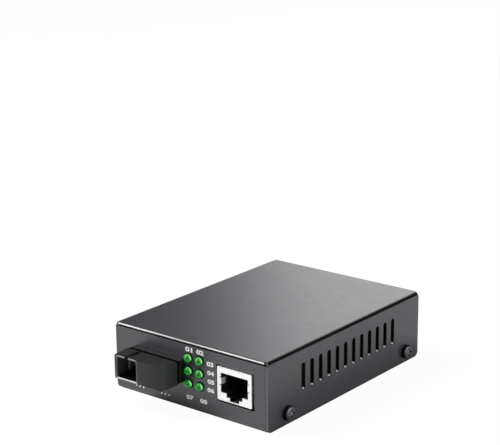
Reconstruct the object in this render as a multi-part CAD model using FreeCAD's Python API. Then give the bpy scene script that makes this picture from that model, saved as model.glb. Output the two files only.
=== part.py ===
import FreeCAD, Part
import math
import os

# Fibre media converter: a small desktop box that joins a twisted-pair socket to an optical
# port. A folded steel tray carries the circuit board on four standoffs and forms the two end
# panels. A folded cover closes the top and both sides and is held by four screws.
# Millimetres. X runs to the right across the front panel, Y runs back, Z runs up, and the
# origin is the middle of the tray's underside.

Vector = FreeCAD.Vector
X_AXIS = Vector(1, 0, 0)
Y_AXIS = Vector(0, 1, 0)
Z_AXIS = Vector(0, 0, 1)

# ---- Case ----------------------------------------------------------------------------------------
CASE_WIDTH = 70.0
CASE_DEPTH = 94.0
CASE_HEIGHT = 26.0
SHEET = 1.0                 # steel sheet of the cover and the tray
COVER_BEND = 0.5            # inside radius of the cover's two folds
TRAY_BEND = 1.0             # inside radius of the tray's four folds
SIDE_GAP = 0.1              # panel ends to the cover's walls
LID_GAP = 0.5               # panels' top edges to the cover's underside
SKIRT_GAP = 0.1             # cover's lower edges above the underside
SKIRT_CORNER = 2.0          # rounded lower corners of the cover's walls
EDGE_ROUNDING = 0.2         # broken outer edges at the cover's two ends
CORNER_NOTCH = 0.6          # relief at each end of the cover's folds
FLANGE_HEIGHT = 8.0         # tray's low side flanges, above the underside
BEND_RELIEF = 1.0           # slot between each flange and the panel beside it

# ---- Vent slots in the cover's walls -------------------------------------------------------------
VENTS_PER_SIDE = 12
VENT_PITCH = 5.08
VENT_LENGTH = 9.8
VENT_WIDTH = 1.8
VENT_DROP = 10.95           # cover's top face down to the middle of a slot
VENT_SHIFT = 1.0            # the row's middle, behind the middle of the case

# ---- Fasteners -----------------------------------------------------------------------------------
THREAD_DIAMETER = 3.0
THREAD_PLAY = 0.03          # radial, shank in its tapped hole
HOLE_PLAY = 0.2             # radial, shank in a plain hole
HEAD_DIAMETER = 5.4
HEAD_HEIGHT = 1.8
HEAD_ROUNDING = 1.1         # cover screws' domed heads; the board screws' heads are flat
RECESS_SPAN = 3.0
RECESS_WIDTH = 0.8
RECESS_DEPTH = 1.2
COVER_SCREW_HEIGHT = 4.45   # screw axis above the underside
COVER_SCREW_FRONT = 11.0    # screw axis behind the front face
COVER_SCREW_REAR = 9.0      # screw axis ahead of the rear face
COVER_SCREW_SPARE = 1.2     # shank that stands out of the flange
BOARD_SCREW_GRIP = 3.0      # shank inside the standoff

# ---- Circuit board -------------------------------------------------------------------------------
BOARD_THICKNESS = 1.6
BOARD_SIDE_GAP = 0.9        # board to the tray's flanges
BOARD_END_GAP = 1.0         # board to the end panels
BOARD_CORNER = 1.5
STANDOFF_HEIGHT = 5.2
STANDOFF_FLATS = 5.5        # across the flats of its hexagon
STANDOFF_SHANK = 4.2        # diameter pressed into the floor
BOARD_HOLE_INSET = 4.0      # mounting holes in from the board's long edges
BOARD_HOLE_FRONT = 26.5     # front pair behind the board's front edge
BOARD_HOLE_REAR = 16.0      # rear pair ahead of the board's rear edge
PIN_PLAY = 0.2              # radial, a pin in the board
PIN_TAIL = 1.0              # pin ends below the board

# ---- Optical transceiver -------------------------------------------------------------------------
NOSE_RISE = 6.85            # middle of the nose and its port above the board
NOSE_REACH = 12.0           # port's rim ahead of the front face
NOSE_WIDTH = 22.35
NOSE_CORNER = 0.35
FLARE_LEFT = 0.75           # growth of the nose's left side from its face to its groove
FLARE_RIGHT = 0.4
GROOVE_OFFSET = 3.1         # front of the collar ahead of the front face
GROOVE_WIDTH = 0.9
GROOVE_DEPTH = 0.25         # below the collar
COLLAR_STEP = 0.2           # collar smaller than the nose on each side
COLLAR_LAND = 0.2           # collar behind the panel
COLLAR_PLAY = 0.12          # collar in its opening
BODY_STEP = 0.55            # body narrower than the collar on each side
BODY_LENGTH = 23.0
BODY_HEIGHT = 11.6
BODY_FEET = 0.4             # body above the board
PORT_WALL = 1.3             # nose's left side to the port
PORT_WIDTH = 9.0
PORT_HEIGHT = 7.5
PORT_DEPTH = 14.5
RIM_RISE = 0.3              # port's bevelled rim ahead of the nose's face
RIM_LAND = 0.1              # flat crest between the rim's two bevels
KEYWAY_WIDTH = 1.8
KEYWAY_LENGTH = 7.6
TRANSCEIVER_PINS = 9
TRANSCEIVER_PITCH = 2.54
TRANSCEIVER_PIN = 0.5
TRANSCEIVER_PIN_INSET = 2.5  # pin row ahead of the body's rear
STUD_DIAMETER = 1.5
STUD_SPACING = 17.8
STUD_INSET = 5.0            # studs behind the body's front

# ---- Plug guide inside the optical port ----------------------------------------------------------
GUIDE_BASE = 1.2            # plate on the port's floor
GUIDE_PLAY = 0.1            # guide's base in the port
BARREL_DIAMETER = 4.9
BARREL_BORE = 3.3
BARREL_LENGTH = 6.0
SLEEVE_BORE = 2.5
SLEEVE_PLAY = 0.03
SLEEVE_INSET = 0.5          # sleeve behind the barrel's mouth
SLEEVE_SLIT = 0.35
LATCH_THICKNESS = 0.45
LATCH_HEIGHT = 4.9
LATCH_LENGTH = 7.6
LATCH_HOOK = 0.35

# ---- Indicator lamps -----------------------------------------------------------------------------
LAMP_COLUMNS_X = 2.59       # middle between the two columns
LAMP_TO_COLLAR = 2.2        # left column's axis to the transceiver's collar
LAMP_TO_JACK = 8.17         # right column's axis to the twisted-pair socket
LAMP_COLUMN_PITCH = 5.08
LAMP_ROW_PITCH = 4.83
LAMP_ROWS = ("bottom", "middle", "top")
LAMP_COLUMNS = ("left", "right")
LAMP_RISE = 2.45            # lowest lamp's axis above the board
LAMP_DIAMETER = 3.1
LAMP_FLANGE = 3.9
LAMP_FLANGE_LENGTH = 1.0
LAMP_LENGTH = 5.3           # flange and dome
LAMP_REACH = 2.0            # dome ahead of the front face
LAMP_PLAY = 0.1
LAMP_WINDOW = 0.3           # radial, lamp in the front panel's hole
HOLDER_SPACE = 0.48         # between the two holders
HOLDER_DEPTH = 7.6
HOLDER_GAP = 0.3            # holder behind the front panel
HOLDER_CROWN = 2.1          # holder above the top lamp's axis
LEAD_SIZE = 0.5
LEAD_SPACING = 2.54
LEAD_BEND = 0.0             # inside radius
LEAD_STEP = 1.3             # between the leads of one row and those of the next

# ---- Twisted-pair socket -------------------------------------------------------------------------
JACK_WIDTH = 15.1
JACK_HEIGHT = 12.3
JACK_LENGTH = 20.5
JACK_FEET = 0.05            # shield above the board
JACK_REACH = 0.5            # shield ahead of the front face
JACK_SIDE_WINDOW = 0.85     # panel opening past the shield's sides
JACK_TOP_WINDOW = 0.45
JACK_BOTTOM_WINDOW = 0.95
SHIELD_THICKNESS = 0.3
SHIELD_CORNER = 0.4
SHIELD_TAB_WIDTH = 1.4
SHIELD_TAB_INSET = 8.0      # ground tabs behind the shield's front
JACK_PLAY = 0.05            # housing inside the shield
PLUG_WIDTH = 11.95
PLUG_TOP = 10.2             # heights above the shield's lower edge
PLUG_SHELF = 3.0
LATCH_SLOT_WIDTH = 7.0
LATCH_SLOT_SHELF = 1.6
LATCH_TIP_WIDTH = 4.1
LATCH_TIP_FLOOR = 0.4
PLUG_DEPTH = 12.5
PLUG_FUNNEL = 0.2           # lead-in at the plastic mouth
FINGER_ROOT = 0.6           # slits' depth into the shield's face
FINGER_BULGE = 0.4          # finger into the mouth at its middle
FINGER_RISE = 7.05          # middle of the side fingers above the shield's lower edge
FINGER_HEIGHT = 2.4
FINGER_SLIT = 0.35
FINGER_LENGTH = 3.2
CONTACT_COUNT = 8
CONTACT_PITCH = 1.02
CONTACT_WIDTH = 0.45
CONTACT_THICKNESS = 0.3
CONTACT_BEND = 0.35
CONTACT_PLAY = 0.1
CONTACT_DIP = 3.4           # free ends below the plug opening's roof
CONTACT_NOSE = 1.9          # front bend behind the shield's front
CONTACT_SPRING = 8.4        # front bend back to the free ends
PEG_DIAMETER = 1.6
PEG_SPACING = 11.4
PEG_INSET = 11.0

# ---- Power socket --------------------------------------------------------------------------------
POWER_X = -20.0
POWER_WIDTH = 9.0
POWER_HEIGHT = 10.8
POWER_LENGTH = 14.0
POWER_FACE = 3.4            # thickness of its square front block
POWER_REACH = 0.3           # front block behind the rear face, outwards
POWER_WINDOW = 0.3          # rear panel opening round the block
POWER_BORE = 6.3
POWER_BORE_DEPTH = 9.5
POWER_BORE_RISE = 6.3       # bore axis above the board
POWER_PIN = 2.0
POWER_PIN_INSET = 1.0
POWER_RIVET = 3.6
POWER_RIVET_HEAD = 0.6
POWER_STRIP_WIDTH = 2.4
POWER_STRIP = 0.6
POWER_SPRING_WIDTH = 2.0
POWER_SPRING = 0.4

# ---- Components on the board ---------------------------------------------------------------------
CHIP_X = -2.0
CHIP_BEHIND_FRONT = 38.5    # middle of the converter chip behind the board's front edge
CHIP_SIZE = 12.0
CHIP_HEIGHT = 1.4
CHIP_LEADS_PER_SIDE = 10
CHIP_LEAD_PITCH = 1.0
CHIP_LEAD_WIDTH = 0.4
GULL_REACH = 1.2            # foot of a lead beyond its package
GULL_FOOT = 0.6
GULL_THICKNESS = 0.2
GULL_RISE = 0.8             # lead's root above the board
PACKAGE_LIFT = 0.1          # packages above the board
DIMPLE = 1.2
COIL_X = 13.5               # isolation transformer
COIL_BEHIND_FRONT = 28.5
COIL_WIDTH = 12.6
COIL_DEPTH = 7.2
COIL_HEIGHT = 5.6
COIL_LEADS_PER_SIDE = 8
COIL_LEAD_PITCH = 1.27
MEMORY_X = -18.0
MEMORY_BEHIND_FRONT = 45.0
MEMORY_WIDTH = 4.9
MEMORY_DEPTH = 3.9
MEMORY_HEIGHT = 1.5
MEMORY_LEADS_PER_SIDE = 4
CRYSTAL_X = -18.0
CRYSTAL_BEHIND_FRONT = 34.0
CRYSTAL_LENGTH = 10.2
CRYSTAL_WIDTH = 3.9
CRYSTAL_HEIGHT = 3.4
CRYSTAL_RIM = 0.4
REGULATOR_X = 13.0
REGULATOR_AHEAD_REAR = 24.0
REGULATOR_WIDTH = 6.5
REGULATOR_DEPTH = 3.5
REGULATOR_HEIGHT = 1.6
REGULATOR_PITCH = 2.3
REGULATOR_TAB = 3.0
CAPACITOR_X = -6.0
CAPACITOR_AHEAD_REAR = 9.0
CAPACITOR_SPACING = 10.0
CAPACITOR_DIAMETER = 6.3
CAPACITOR_HEIGHT = 7.4
CAPACITOR_BASE = 6.6
CAPACITOR_BASE_HEIGHT = 1.2
CAPACITOR_EDGE = 0.4
CHOKE_X = -6.0
CHOKE_AHEAD_REAR = 22.0
CHOKE_DIAMETER = 8.0
CHOKE_HEIGHT = 4.6
CHOKE_FLANGE = 0.9
CHOKE_CORE = 4.0
CHOKE_WINDING = 6.8
SMALL_LENGTH = 2.0
SMALL_WIDTH = 1.25
SMALL_HEIGHT = 0.9
SMALL_PITCH = 3.0
SMALL_PER_ROW = 5

# ---- Worked-out places ---------------------------------------------------------------------------
FRONT_FACE = -CASE_DEPTH / 2
REAR_FACE = CASE_DEPTH / 2
TRAY_WIDTH = CASE_WIDTH - 2 * (SHEET + SIDE_GAP)
PANEL_HEIGHT = CASE_HEIGHT - SHEET - LID_GAP
BOARD_HALF_WIDTH = TRAY_WIDTH / 2 - SHEET - BOARD_SIDE_GAP
BOARD_FRONT = FRONT_FACE + SHEET + BOARD_END_GAP
BOARD_REAR = REAR_FACE - SHEET - BOARD_END_GAP
BOARD_BOTTOM = SHEET + STANDOFF_HEIGHT
BOARD_TOP = BOARD_BOTTOM + BOARD_THICKNESS
THREAD_HOLE = THREAD_DIAMETER / 2 + THREAD_PLAY
PLAIN_HOLE = THREAD_DIAMETER / 2 + HOLE_PLAY
TIP_Y = FRONT_FACE - NOSE_REACH
COLLAR_Y = FRONT_FACE - GROOVE_OFFSET
BODY_Y = FRONT_FACE + SHEET + COLLAR_LAND
BODY_REAR = BODY_Y + BODY_LENGTH
NOSE_Z = BOARD_TOP + NOSE_RISE
NOSE_Y = TIP_Y + RIM_RISE
NOSE_HEIGHT = PORT_HEIGHT + 2 * (2 * RIM_RISE + RIM_LAND)
ROOT_WIDTH = NOSE_WIDTH + FLARE_LEFT + FLARE_RIGHT
COLLAR_WIDTH = ROOT_WIDTH - 2 * COLLAR_STEP
COLLAR_HEIGHT = NOSE_HEIGHT - 2 * COLLAR_STEP
COLLAR_X = LAMP_COLUMNS_X - LAMP_COLUMN_PITCH / 2 - LAMP_TO_COLLAR - COLLAR_WIDTH / 2
NOSE_X = COLLAR_X + (FLARE_LEFT - FLARE_RIGHT) / 2
PORT_X = NOSE_X - NOSE_WIDTH / 2 + PORT_WALL + PORT_WIDTH / 2
BODY_WIDTH = COLLAR_WIDTH - 2 * BODY_STEP
PORT_FLOOR = TIP_Y + PORT_DEPTH
LAMP_SHOULDER = FRONT_FACE - LAMP_REACH + LAMP_LENGTH - LAMP_FLANGE_LENGTH
HOLDER_WIDTH = LAMP_COLUMN_PITCH - HOLDER_SPACE
HOLDER_FRONT = FRONT_FACE + SHEET + HOLDER_GAP
HOLDER_REAR = HOLDER_FRONT + HOLDER_DEPTH
JACK_X = LAMP_COLUMNS_X + LAMP_COLUMN_PITCH / 2 + LAMP_TO_JACK + JACK_WIDTH / 2
JACK_FRONT = FRONT_FACE - JACK_REACH
JACK_REAR = JACK_FRONT + JACK_LENGTH
JACK_BASE = BOARD_TOP + JACK_FEET
SOCKET_WIDTH = JACK_WIDTH - 2 * (SHIELD_THICKNESS + JACK_PLAY)
SOCKET_TOP = JACK_BASE + JACK_HEIGHT - SHIELD_THICKNESS - JACK_PLAY
SOCKET_FRONT = JACK_FRONT + SHIELD_THICKNESS + JACK_PLAY
SOCKET_REAR = JACK_REAR - SHIELD_THICKNESS - CONTACT_BEND - CONTACT_THICKNESS - CONTACT_PLAY
CONTACT_SHELF = JACK_BASE + PLUG_TOP + CONTACT_PLAY
POWER_FRONT = REAR_FACE + POWER_REACH
POWER_BACK = POWER_FRONT - POWER_LENGTH
POWER_Z = BOARD_TOP + POWER_BORE_RISE
TINY = 1e-5


# ---- Shapes that repeat --------------------------------------------------------------------------
def rounded_corner(before, corner, after, radius):
    """Start, middle and end of the arc that rounds one corner; the corner itself at radius 0."""
    if radius <= 0:
        return corner, None, corner
    towards = (before - corner).normalize()
    onwards = (after - corner).normalize()
    half = towards.getAngle(onwards) / 2
    bisector = (towards + onwards).normalize()
    middle = corner + bisector * (radius / math.sin(half) - radius)
    setback = radius / math.tan(half)
    return corner + towards * setback, middle, corner + onwards * setback


def outline(points, radii=None):
    """Closed wire through the points, each corner rounded by its own radius, or sharp."""
    count = len(points)
    radii = radii or [0] * count
    corners = [rounded_corner(points[i - 1], points[i], points[(i + 1) % count], radii[i])
               for i in range(count)]
    edges = []
    for index, (start, middle, end) in enumerate(corners):
        if middle is not None:
            edges.append(Part.Arc(start, middle, end).toShape())
        following = corners[(index + 1) % count][0]
        if end.distanceToPoint(following) > TINY:
            edges.append(Part.makeLine(end, following))
    return Part.Wire(edges)


def prism(points, sweep, radii=None):
    """Solid swept from an outline, sharp or rounded."""
    return Part.Face(outline(points, radii)).extrude(sweep)


def block(x_range, y_range, z_range):
    """Plain block between two places on each axis."""
    size = [end - start for start, end in (x_range, y_range, z_range)]
    return Part.makeBox(*size, Vector(x_range[0], y_range[0], z_range[0]))


def around(middle, size):
    """Range of a given size about its middle."""
    return middle - size / 2, middle + size / 2


def rod(radius, start, end):
    """Round rod from one point to another."""
    return Part.makeCylinder(radius, (end - start).Length, start, end - start)


def upright_frame(middle_x, middle_z, width, height, corner, y):
    """Rounded rectangle that stands across the Y axis."""
    left, right = around(middle_x, width)
    low, high = around(middle_z, height)
    points = [Vector(left, y, low), Vector(right, y, low), Vector(right, y, high), Vector(left, y, high)]
    return outline(points, [corner] * 4)


def upright_bar(middle_x, middle_z, width, height, corner, y_range):
    """Rounded rectangular bar along the Y axis."""
    wire = upright_frame(middle_x, middle_z, width, height, corner, y_range[0])
    return Part.Face(wire).extrude(Y_AXIS * (y_range[1] - y_range[0]))


def flat_plate(x_range, y_range, z_range, corner):
    """Plate that lies flat, with rounded corners."""
    low = z_range[0]
    points = [Vector(x_range[0], y_range[0], low), Vector(x_range[1], y_range[0], low),
              Vector(x_range[1], y_range[1], low), Vector(x_range[0], y_range[1], low)]
    return prism(points, Z_AXIS * (z_range[1] - low), [corner] * 4)


def channel(origin, across, up, along, span, rise, run, bend):
    """Folded sheet: a web with a wall up each side, open above."""
    half = span / 2
    corners = [(-half, rise), (-half, 0), (half, 0), (half, rise),
               (half - SHEET, rise), (half - SHEET, SHEET), (SHEET - half, SHEET), (SHEET - half, rise)]
    radii = [0, bend + SHEET, bend + SHEET, 0, 0, bend, bend, 0]
    return prism([origin + across * u + up * v for u, v in corners], along * run, radii)


def ribbon(path, thickness, bend, sweep):
    """Bent strip that follows a flat path, swept sideways and centred on it."""
    axis = Vector(sweep).normalize()
    headings = [(path[i + 1] - path[i]).normalize() for i in range(len(path) - 1)]
    lefts = [axis.cross(heading) for heading in headings]
    left, right, left_radii, right_radii = [], [], [], []
    for index, point in enumerate(path):
        before = lefts[max(index - 1, 0)]
        after = lefts[min(index, len(lefts) - 1)]
        offset = (before + after) * (thickness / 2 / (1 + before.dot(after)))
        turn = 0 if index in (0, len(path) - 1) else headings[index - 1].cross(headings[index]).dot(axis)
        left.append(point + offset)
        right.append(point - offset)
        inner, outer = (0, 0) if turn == 0 or bend == 0 else (bend, bend + thickness)
        left_radii.append(inner if turn > 0 else outer)
        right_radii.append(inner if turn < 0 else outer)
    start = sweep * -0.5
    points = [point + start for point in left + right[::-1]]
    return prism(points, sweep, left_radii + right_radii[::-1])


def joined(pieces):
    """One solid from pieces that meet."""
    return pieces[0].fuse(pieces[1:]).removeSplitter()


def mirrored_x(shape):
    """Copy on the other side of the case's middle."""
    return shape.mirror(Vector(0, 0, 0), X_AXIS)


def cross_screw(seat, direction, length, rounding):
    """Screw with a cross recess in its head, from under the head along its direction."""
    crown = seat - direction * HEAD_HEIGHT
    head = rod(HEAD_DIAMETER / 2, crown, seat)
    rim = [edge for edge in head.Edges if edge.CenterOfMass.distanceToPoint(crown) < TINY]
    head = head.makeFillet(rounding, rim) if rounding > 0 else head
    side = Z_AXIS if abs(direction.z) < 0.5 else X_AXIS
    return joined([head, rod(THREAD_DIAMETER / 2, seat, seat + direction * length)]).cut(
        [recess_wing(crown, direction, side), recess_wing(crown, direction, direction.cross(side))])


def recess_wing(crown, direction, side):
    """One tapered slot of a cross recess."""
    flat = direction.cross(side)
    tip = side * (RECESS_SPAN / 2 - RECESS_DEPTH / 2)
    mouth = side * (RECESS_SPAN / 2)
    low = crown + direction * RECESS_DEPTH
    points = [crown - mouth, crown + mouth, low + tip, low - tip]
    start = flat * (-RECESS_WIDTH / 2)
    return prism([point + start for point in points], flat * RECESS_WIDTH)


def gull_lead(root, outwards, width):
    """Formed lead: out of a package, down, and out along the board."""
    knee = root + outwards * (GULL_REACH - GULL_FOOT) / 2
    ankle_x = outwards * (GULL_REACH - GULL_FOOT)
    drop = Z_AXIS * (GULL_RISE - GULL_THICKNESS / 2)
    ankle = root + ankle_x - drop
    toe = root + outwards * GULL_REACH - drop
    return ribbon([root, knee, ankle, toe], GULL_THICKNESS, 0, outwards.cross(Z_AXIS) * width)


def lead_row(edge_middle, outwards, count, pitch, width):
    """Gull leads along one side of a package."""
    step = outwards.cross(Z_AXIS) * pitch
    first = edge_middle - step * ((count - 1) / 2)
    return [gull_lead(first + step * index, outwards, width) for index in range(count)]


# ---- Case ----------------------------------------------------------------------------------------
def cover_screw_places():
    """Y of the screws along each wall."""
    return FRONT_FACE + COVER_SCREW_FRONT, REAR_FACE - COVER_SCREW_REAR


def vent_places():
    """Y of the slots along each wall."""
    first = VENT_SHIFT - VENT_PITCH * (VENTS_PER_SIDE - 1) / 2
    return [first + VENT_PITCH * index for index in range(VENTS_PER_SIDE)]


def vent_cutter(y):
    """Slot with round ends, through both walls."""
    low, high = around(CASE_HEIGHT - VENT_DROP, VENT_LENGTH)
    front, back = around(y, VENT_WIDTH)
    left = -CASE_WIDTH
    corners = [(front, low), (back, low), (back, high), (front, high)]
    points = [Vector(left, y, z) for y, z in corners]
    return prism(points, X_AXIS * (2 * CASE_WIDTH), [VENT_WIDTH / 2] * 4)


def through_hole_x(y, z, radius):
    """Round hole through both walls."""
    return rod(radius, Vector(-CASE_WIDTH, y, z), Vector(CASE_WIDTH, y, z))


def cover_blank():
    """Folded cover with its lower corners rounded and its end edges broken."""
    top = Vector(0, FRONT_FACE, CASE_HEIGHT)
    rise = CASE_HEIGHT - SKIRT_GAP
    blank = channel(top, X_AXIS, Z_AXIS * -1, Y_AXIS, CASE_WIDTH, rise, CASE_DEPTH, COVER_BEND)
    ends = (FRONT_FACE, REAR_FACE)
    corners = [edge for edge in blank.Edges
               if abs(edge.CenterOfMass.z - SKIRT_GAP) < TINY
               and min(abs(edge.CenterOfMass.y - end) for end in ends) < TINY]
    blank = blank.makeFillet(SKIRT_CORNER, corners)
    rims = [edge for edge in blank.Edges if is_outer_rim(edge, ends)]
    return blank.makeFillet(EDGE_ROUNDING, rims)


def is_outer_rim(edge, ends):
    """Whether an edge runs along the outside of one of the cover's ends."""
    middle = edge.CenterOfMass
    box = edge.BoundBox
    at_end = min(abs(middle.y - end) for end in ends) < TINY and box.YLength < TINY
    outside = abs(middle.x) > CASE_WIDTH / 2 - TINY or middle.z > CASE_HEIGHT - TINY
    return at_end and outside and max(box.XLength, box.ZLength) > SHEET + COVER_BEND


def top_cover():
    """Cover with its vents, screw holes and fold reliefs."""
    cutters = [vent_cutter(y) for y in vent_places()]
    cutters += [through_hole_x(y, COVER_SCREW_HEIGHT, PLAIN_HOLE) for y in cover_screw_places()]
    fold = SHEET + COVER_BEND
    for start in (FRONT_FACE - CORNER_NOTCH, REAR_FACE - CORNER_NOTCH):
        notch = block((CASE_WIDTH / 2 - fold, CASE_WIDTH), (start, start + 2 * CORNER_NOTCH),
                      (CASE_HEIGHT - fold, CASE_HEIGHT + fold))
        cutters += [notch, mirrored_x(notch)]
    return cover_blank().cut(cutters)


def cover_screws():
    """The four screws that hold the cover to the tray's flanges."""
    length = 2 * SHEET + SIDE_GAP + COVER_SCREW_SPARE
    right = [cross_screw(Vector(CASE_WIDTH / 2, y, COVER_SCREW_HEIGHT), X_AXIS * -1, length, HEAD_ROUNDING)
             for y in cover_screw_places()]
    return Part.makeCompound(right + [mirrored_x(screw) for screw in right])


def tray_blank():
    """Folded tray: end panels, floor and side flanges, relieved at the corners."""
    fold = SHEET + TRAY_BEND
    origin = Vector(-TRAY_WIDTH / 2, 0, 0)
    panels = channel(origin, Y_AXIS, Z_AXIS, X_AXIS, CASE_DEPTH, PANEL_HEIGHT, TRAY_WIDTH, TRAY_BEND)
    reach = CASE_DEPTH / 2 - fold
    edge = block((TRAY_WIDTH / 2 - fold, TRAY_WIDTH), (-reach, reach), (-SHEET, 2 * SHEET))
    run = 2 * (reach - BEND_RELIEF)
    start = Vector(0, -run / 2, 0)
    flanges = channel(start, X_AXIS, Z_AXIS, Y_AXIS, TRAY_WIDTH, FLANGE_HEIGHT, run, TRAY_BEND)
    return joined([panels.cut([edge, mirrored_x(edge)]), flanges])


def jack_window():
    """Opening of the twisted-pair socket in the front panel."""
    left, right = around(JACK_X, JACK_WIDTH + 2 * JACK_SIDE_WINDOW)
    low = JACK_BASE - JACK_BOTTOM_WINDOW
    high = JACK_BASE + JACK_HEIGHT + JACK_TOP_WINDOW
    return block((left, right), (FRONT_FACE - SHEET, FRONT_FACE + 2 * SHEET), (low, high))


def nose_window():
    """Opening of the transceiver's collar in the front panel."""
    return upright_bar(COLLAR_X, NOSE_Z, COLLAR_WIDTH + 2 * COLLAR_PLAY, COLLAR_HEIGHT + 2 * COLLAR_PLAY,
                       NOSE_CORNER, (FRONT_FACE - SHEET, FRONT_FACE + 2 * SHEET))


def power_window():
    """Opening of the power socket in the rear panel."""
    low = BOARD_TOP
    middle = low + POWER_HEIGHT / 2
    return upright_bar(POWER_X, middle, POWER_WIDTH + 2 * POWER_WINDOW, POWER_HEIGHT + 2 * POWER_WINDOW,
                       POWER_WINDOW, (REAR_FACE - 2 * SHEET, REAR_FACE + SHEET))


def lamp_places():
    """Name, X and Z of each lamp's axis."""
    for column, side in enumerate(LAMP_COLUMNS):
        x = LAMP_COLUMNS_X + LAMP_COLUMN_PITCH * (column - 0.5)
        for row, level in enumerate(LAMP_ROWS):
            yield f"lamp_{side}_{level}", x, BOARD_TOP + LAMP_RISE + LAMP_ROW_PITCH * row


def board_hole_places():
    """X and Y of the board's four mounting holes."""
    x = BOARD_HALF_WIDTH - BOARD_HOLE_INSET
    return [(side * x, y) for side in (-1, 1)
            for y in (BOARD_FRONT + BOARD_HOLE_FRONT, BOARD_REAR - BOARD_HOLE_REAR)]


def base_tray():
    """Tray with its openings, tapped flange holes and standoff seats."""
    cutters = [jack_window(), nose_window(), power_window()]
    radius = LAMP_DIAMETER / 2 + LAMP_WINDOW
    cutters += [rod(radius, Vector(x, FRONT_FACE - SHEET, z), Vector(x, FRONT_FACE + 2 * SHEET, z))
                for _, x, z in lamp_places()]
    cutters += [through_hole_x(y, COVER_SCREW_HEIGHT, THREAD_HOLE) for y in cover_screw_places()]
    cutters += [rod(STANDOFF_SHANK / 2, Vector(x, y, -SHEET), Vector(x, y, 2 * SHEET))
                for x, y in board_hole_places()]
    return tray_blank().cut(cutters)


# ---- Board and its fixings -----------------------------------------------------------------------
def hexagon_post(x, y, low, high):
    """Upright hexagonal post."""
    radius = STANDOFF_FLATS / math.sqrt(3)
    turns = [math.radians(60 * index) for index in range(6)]
    points = [Vector(x + radius * math.cos(turn), y + radius * math.sin(turn), low) for turn in turns]
    return prism(points, Z_AXIS * (high - low))


def board_standoffs():
    """Threaded standoffs pressed into the floor."""
    pieces = []
    for x, y in board_hole_places():
        post = hexagon_post(x, y, SHEET, BOARD_BOTTOM)
        shank = rod(STANDOFF_SHANK / 2, Vector(x, y, 0), Vector(x, y, SHEET))
        thread = rod(THREAD_HOLE, Vector(x, y, -SHEET), Vector(x, y, BOARD_TOP))
        pieces.append(joined([post, shank]).cut(thread))
    return Part.makeCompound(pieces)


def board_screws():
    """Screws that hold the board to its standoffs."""
    length = BOARD_THICKNESS + BOARD_SCREW_GRIP
    return Part.makeCompound([cross_screw(Vector(x, y, BOARD_TOP), Z_AXIS * -1, length, 0)
                              for x, y in board_hole_places()])


def round_holes():
    """X, Y and radius of the board's round holes."""
    places = [(x, y, PLAIN_HOLE) for x, y in board_hole_places()]
    places += [(x, y, STUD_DIAMETER / 2 + PIN_PLAY) for x, y in stud_places()]
    places += [(x, y, PEG_DIAMETER / 2 + PIN_PLAY) for x, y in peg_places()]
    return places


def square_holes():
    """X, Y, width and depth of the board's square-cut pin holes, before their play."""
    places = [(x, y, TRANSCEIVER_PIN, TRANSCEIVER_PIN) for x, y in transceiver_pin_places()]
    places += [(x, y, LEAD_SIZE, LEAD_SIZE) for x, y, _ in lamp_lead_places()]
    places += [(x, contact_tail_y(), CONTACT_WIDTH, CONTACT_THICKNESS) for x in contact_places()]
    places += [(x, y, SHIELD_THICKNESS, SHIELD_TAB_WIDTH) for x, y in shield_tab_places()]
    places += [(x, y, POWER_STRIP_WIDTH, POWER_STRIP) for x, y in power_tail_places()]
    return places


def circuit_board():
    """Board with its mounting and pin holes."""
    board = flat_plate((-BOARD_HALF_WIDTH, BOARD_HALF_WIDTH), (BOARD_FRONT, BOARD_REAR),
                       (BOARD_BOTTOM, BOARD_TOP), BOARD_CORNER)
    through = (BOARD_BOTTOM - SHEET, BOARD_TOP + SHEET)
    holes = [rod(radius, Vector(x, y, through[0]), Vector(x, y, through[1]))
             for x, y, radius in round_holes()]
    holes += [block(around(x, width + 2 * PIN_PLAY), around(y, depth + 2 * PIN_PLAY), through)
              for x, y, width, depth in square_holes()]
    return board.cut(holes)


# ---- Optical transceiver -------------------------------------------------------------------------
def stud_places():
    """X and Y of the transceiver's two moulded studs."""
    return [(COLLAR_X + side * STUD_SPACING / 2, BODY_Y + STUD_INSET) for side in (-1, 1)]


def transceiver_pin_places():
    """X and Y of the transceiver's row of pins."""
    first = COLLAR_X - TRANSCEIVER_PITCH * (TRANSCEIVER_PINS - 1) / 2
    y = BODY_REAR - TRANSCEIVER_PIN_INSET
    return [(first + TRANSCEIVER_PITCH * index, y) for index in range(TRANSCEIVER_PINS)]


def port_frame(spread, y):
    """Outline of the optical port across the Y axis, grown by a spread on each side."""
    return upright_frame(PORT_X, NOSE_Z, PORT_WIDTH + 2 * spread, PORT_HEIGHT + 2 * spread,
                         NOSE_CORNER + spread, y)


def port_rim():
    """Raised rim round the optical port, bevelled outside; the port's mouth bevels its inside."""
    crest = RIM_RISE + RIM_LAND
    return Part.makeLoft([port_frame(crest + RIM_RISE, NOSE_Y), port_frame(crest, TIP_Y)], True, True)


def transceiver_nose():
    """Flared nose, groove and collar ahead of the body."""
    groove_front = COLLAR_Y - GROOVE_WIDTH
    face = upright_frame(NOSE_X, NOSE_Z, NOSE_WIDTH, NOSE_HEIGHT, NOSE_CORNER, NOSE_Y)
    root = upright_frame(COLLAR_X, NOSE_Z, ROOT_WIDTH, NOSE_HEIGHT, NOSE_CORNER, groove_front)
    nose = Part.makeLoft([face, root], True, True)
    neck = upright_bar(COLLAR_X, NOSE_Z, COLLAR_WIDTH - 2 * GROOVE_DEPTH, COLLAR_HEIGHT - 2 * GROOVE_DEPTH,
                       NOSE_CORNER, (groove_front, COLLAR_Y))
    collar = upright_bar(COLLAR_X, NOSE_Z, COLLAR_WIDTH, COLLAR_HEIGHT, NOSE_CORNER, (COLLAR_Y, BODY_Y))
    return joined([nose, port_rim(), neck, collar])


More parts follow.
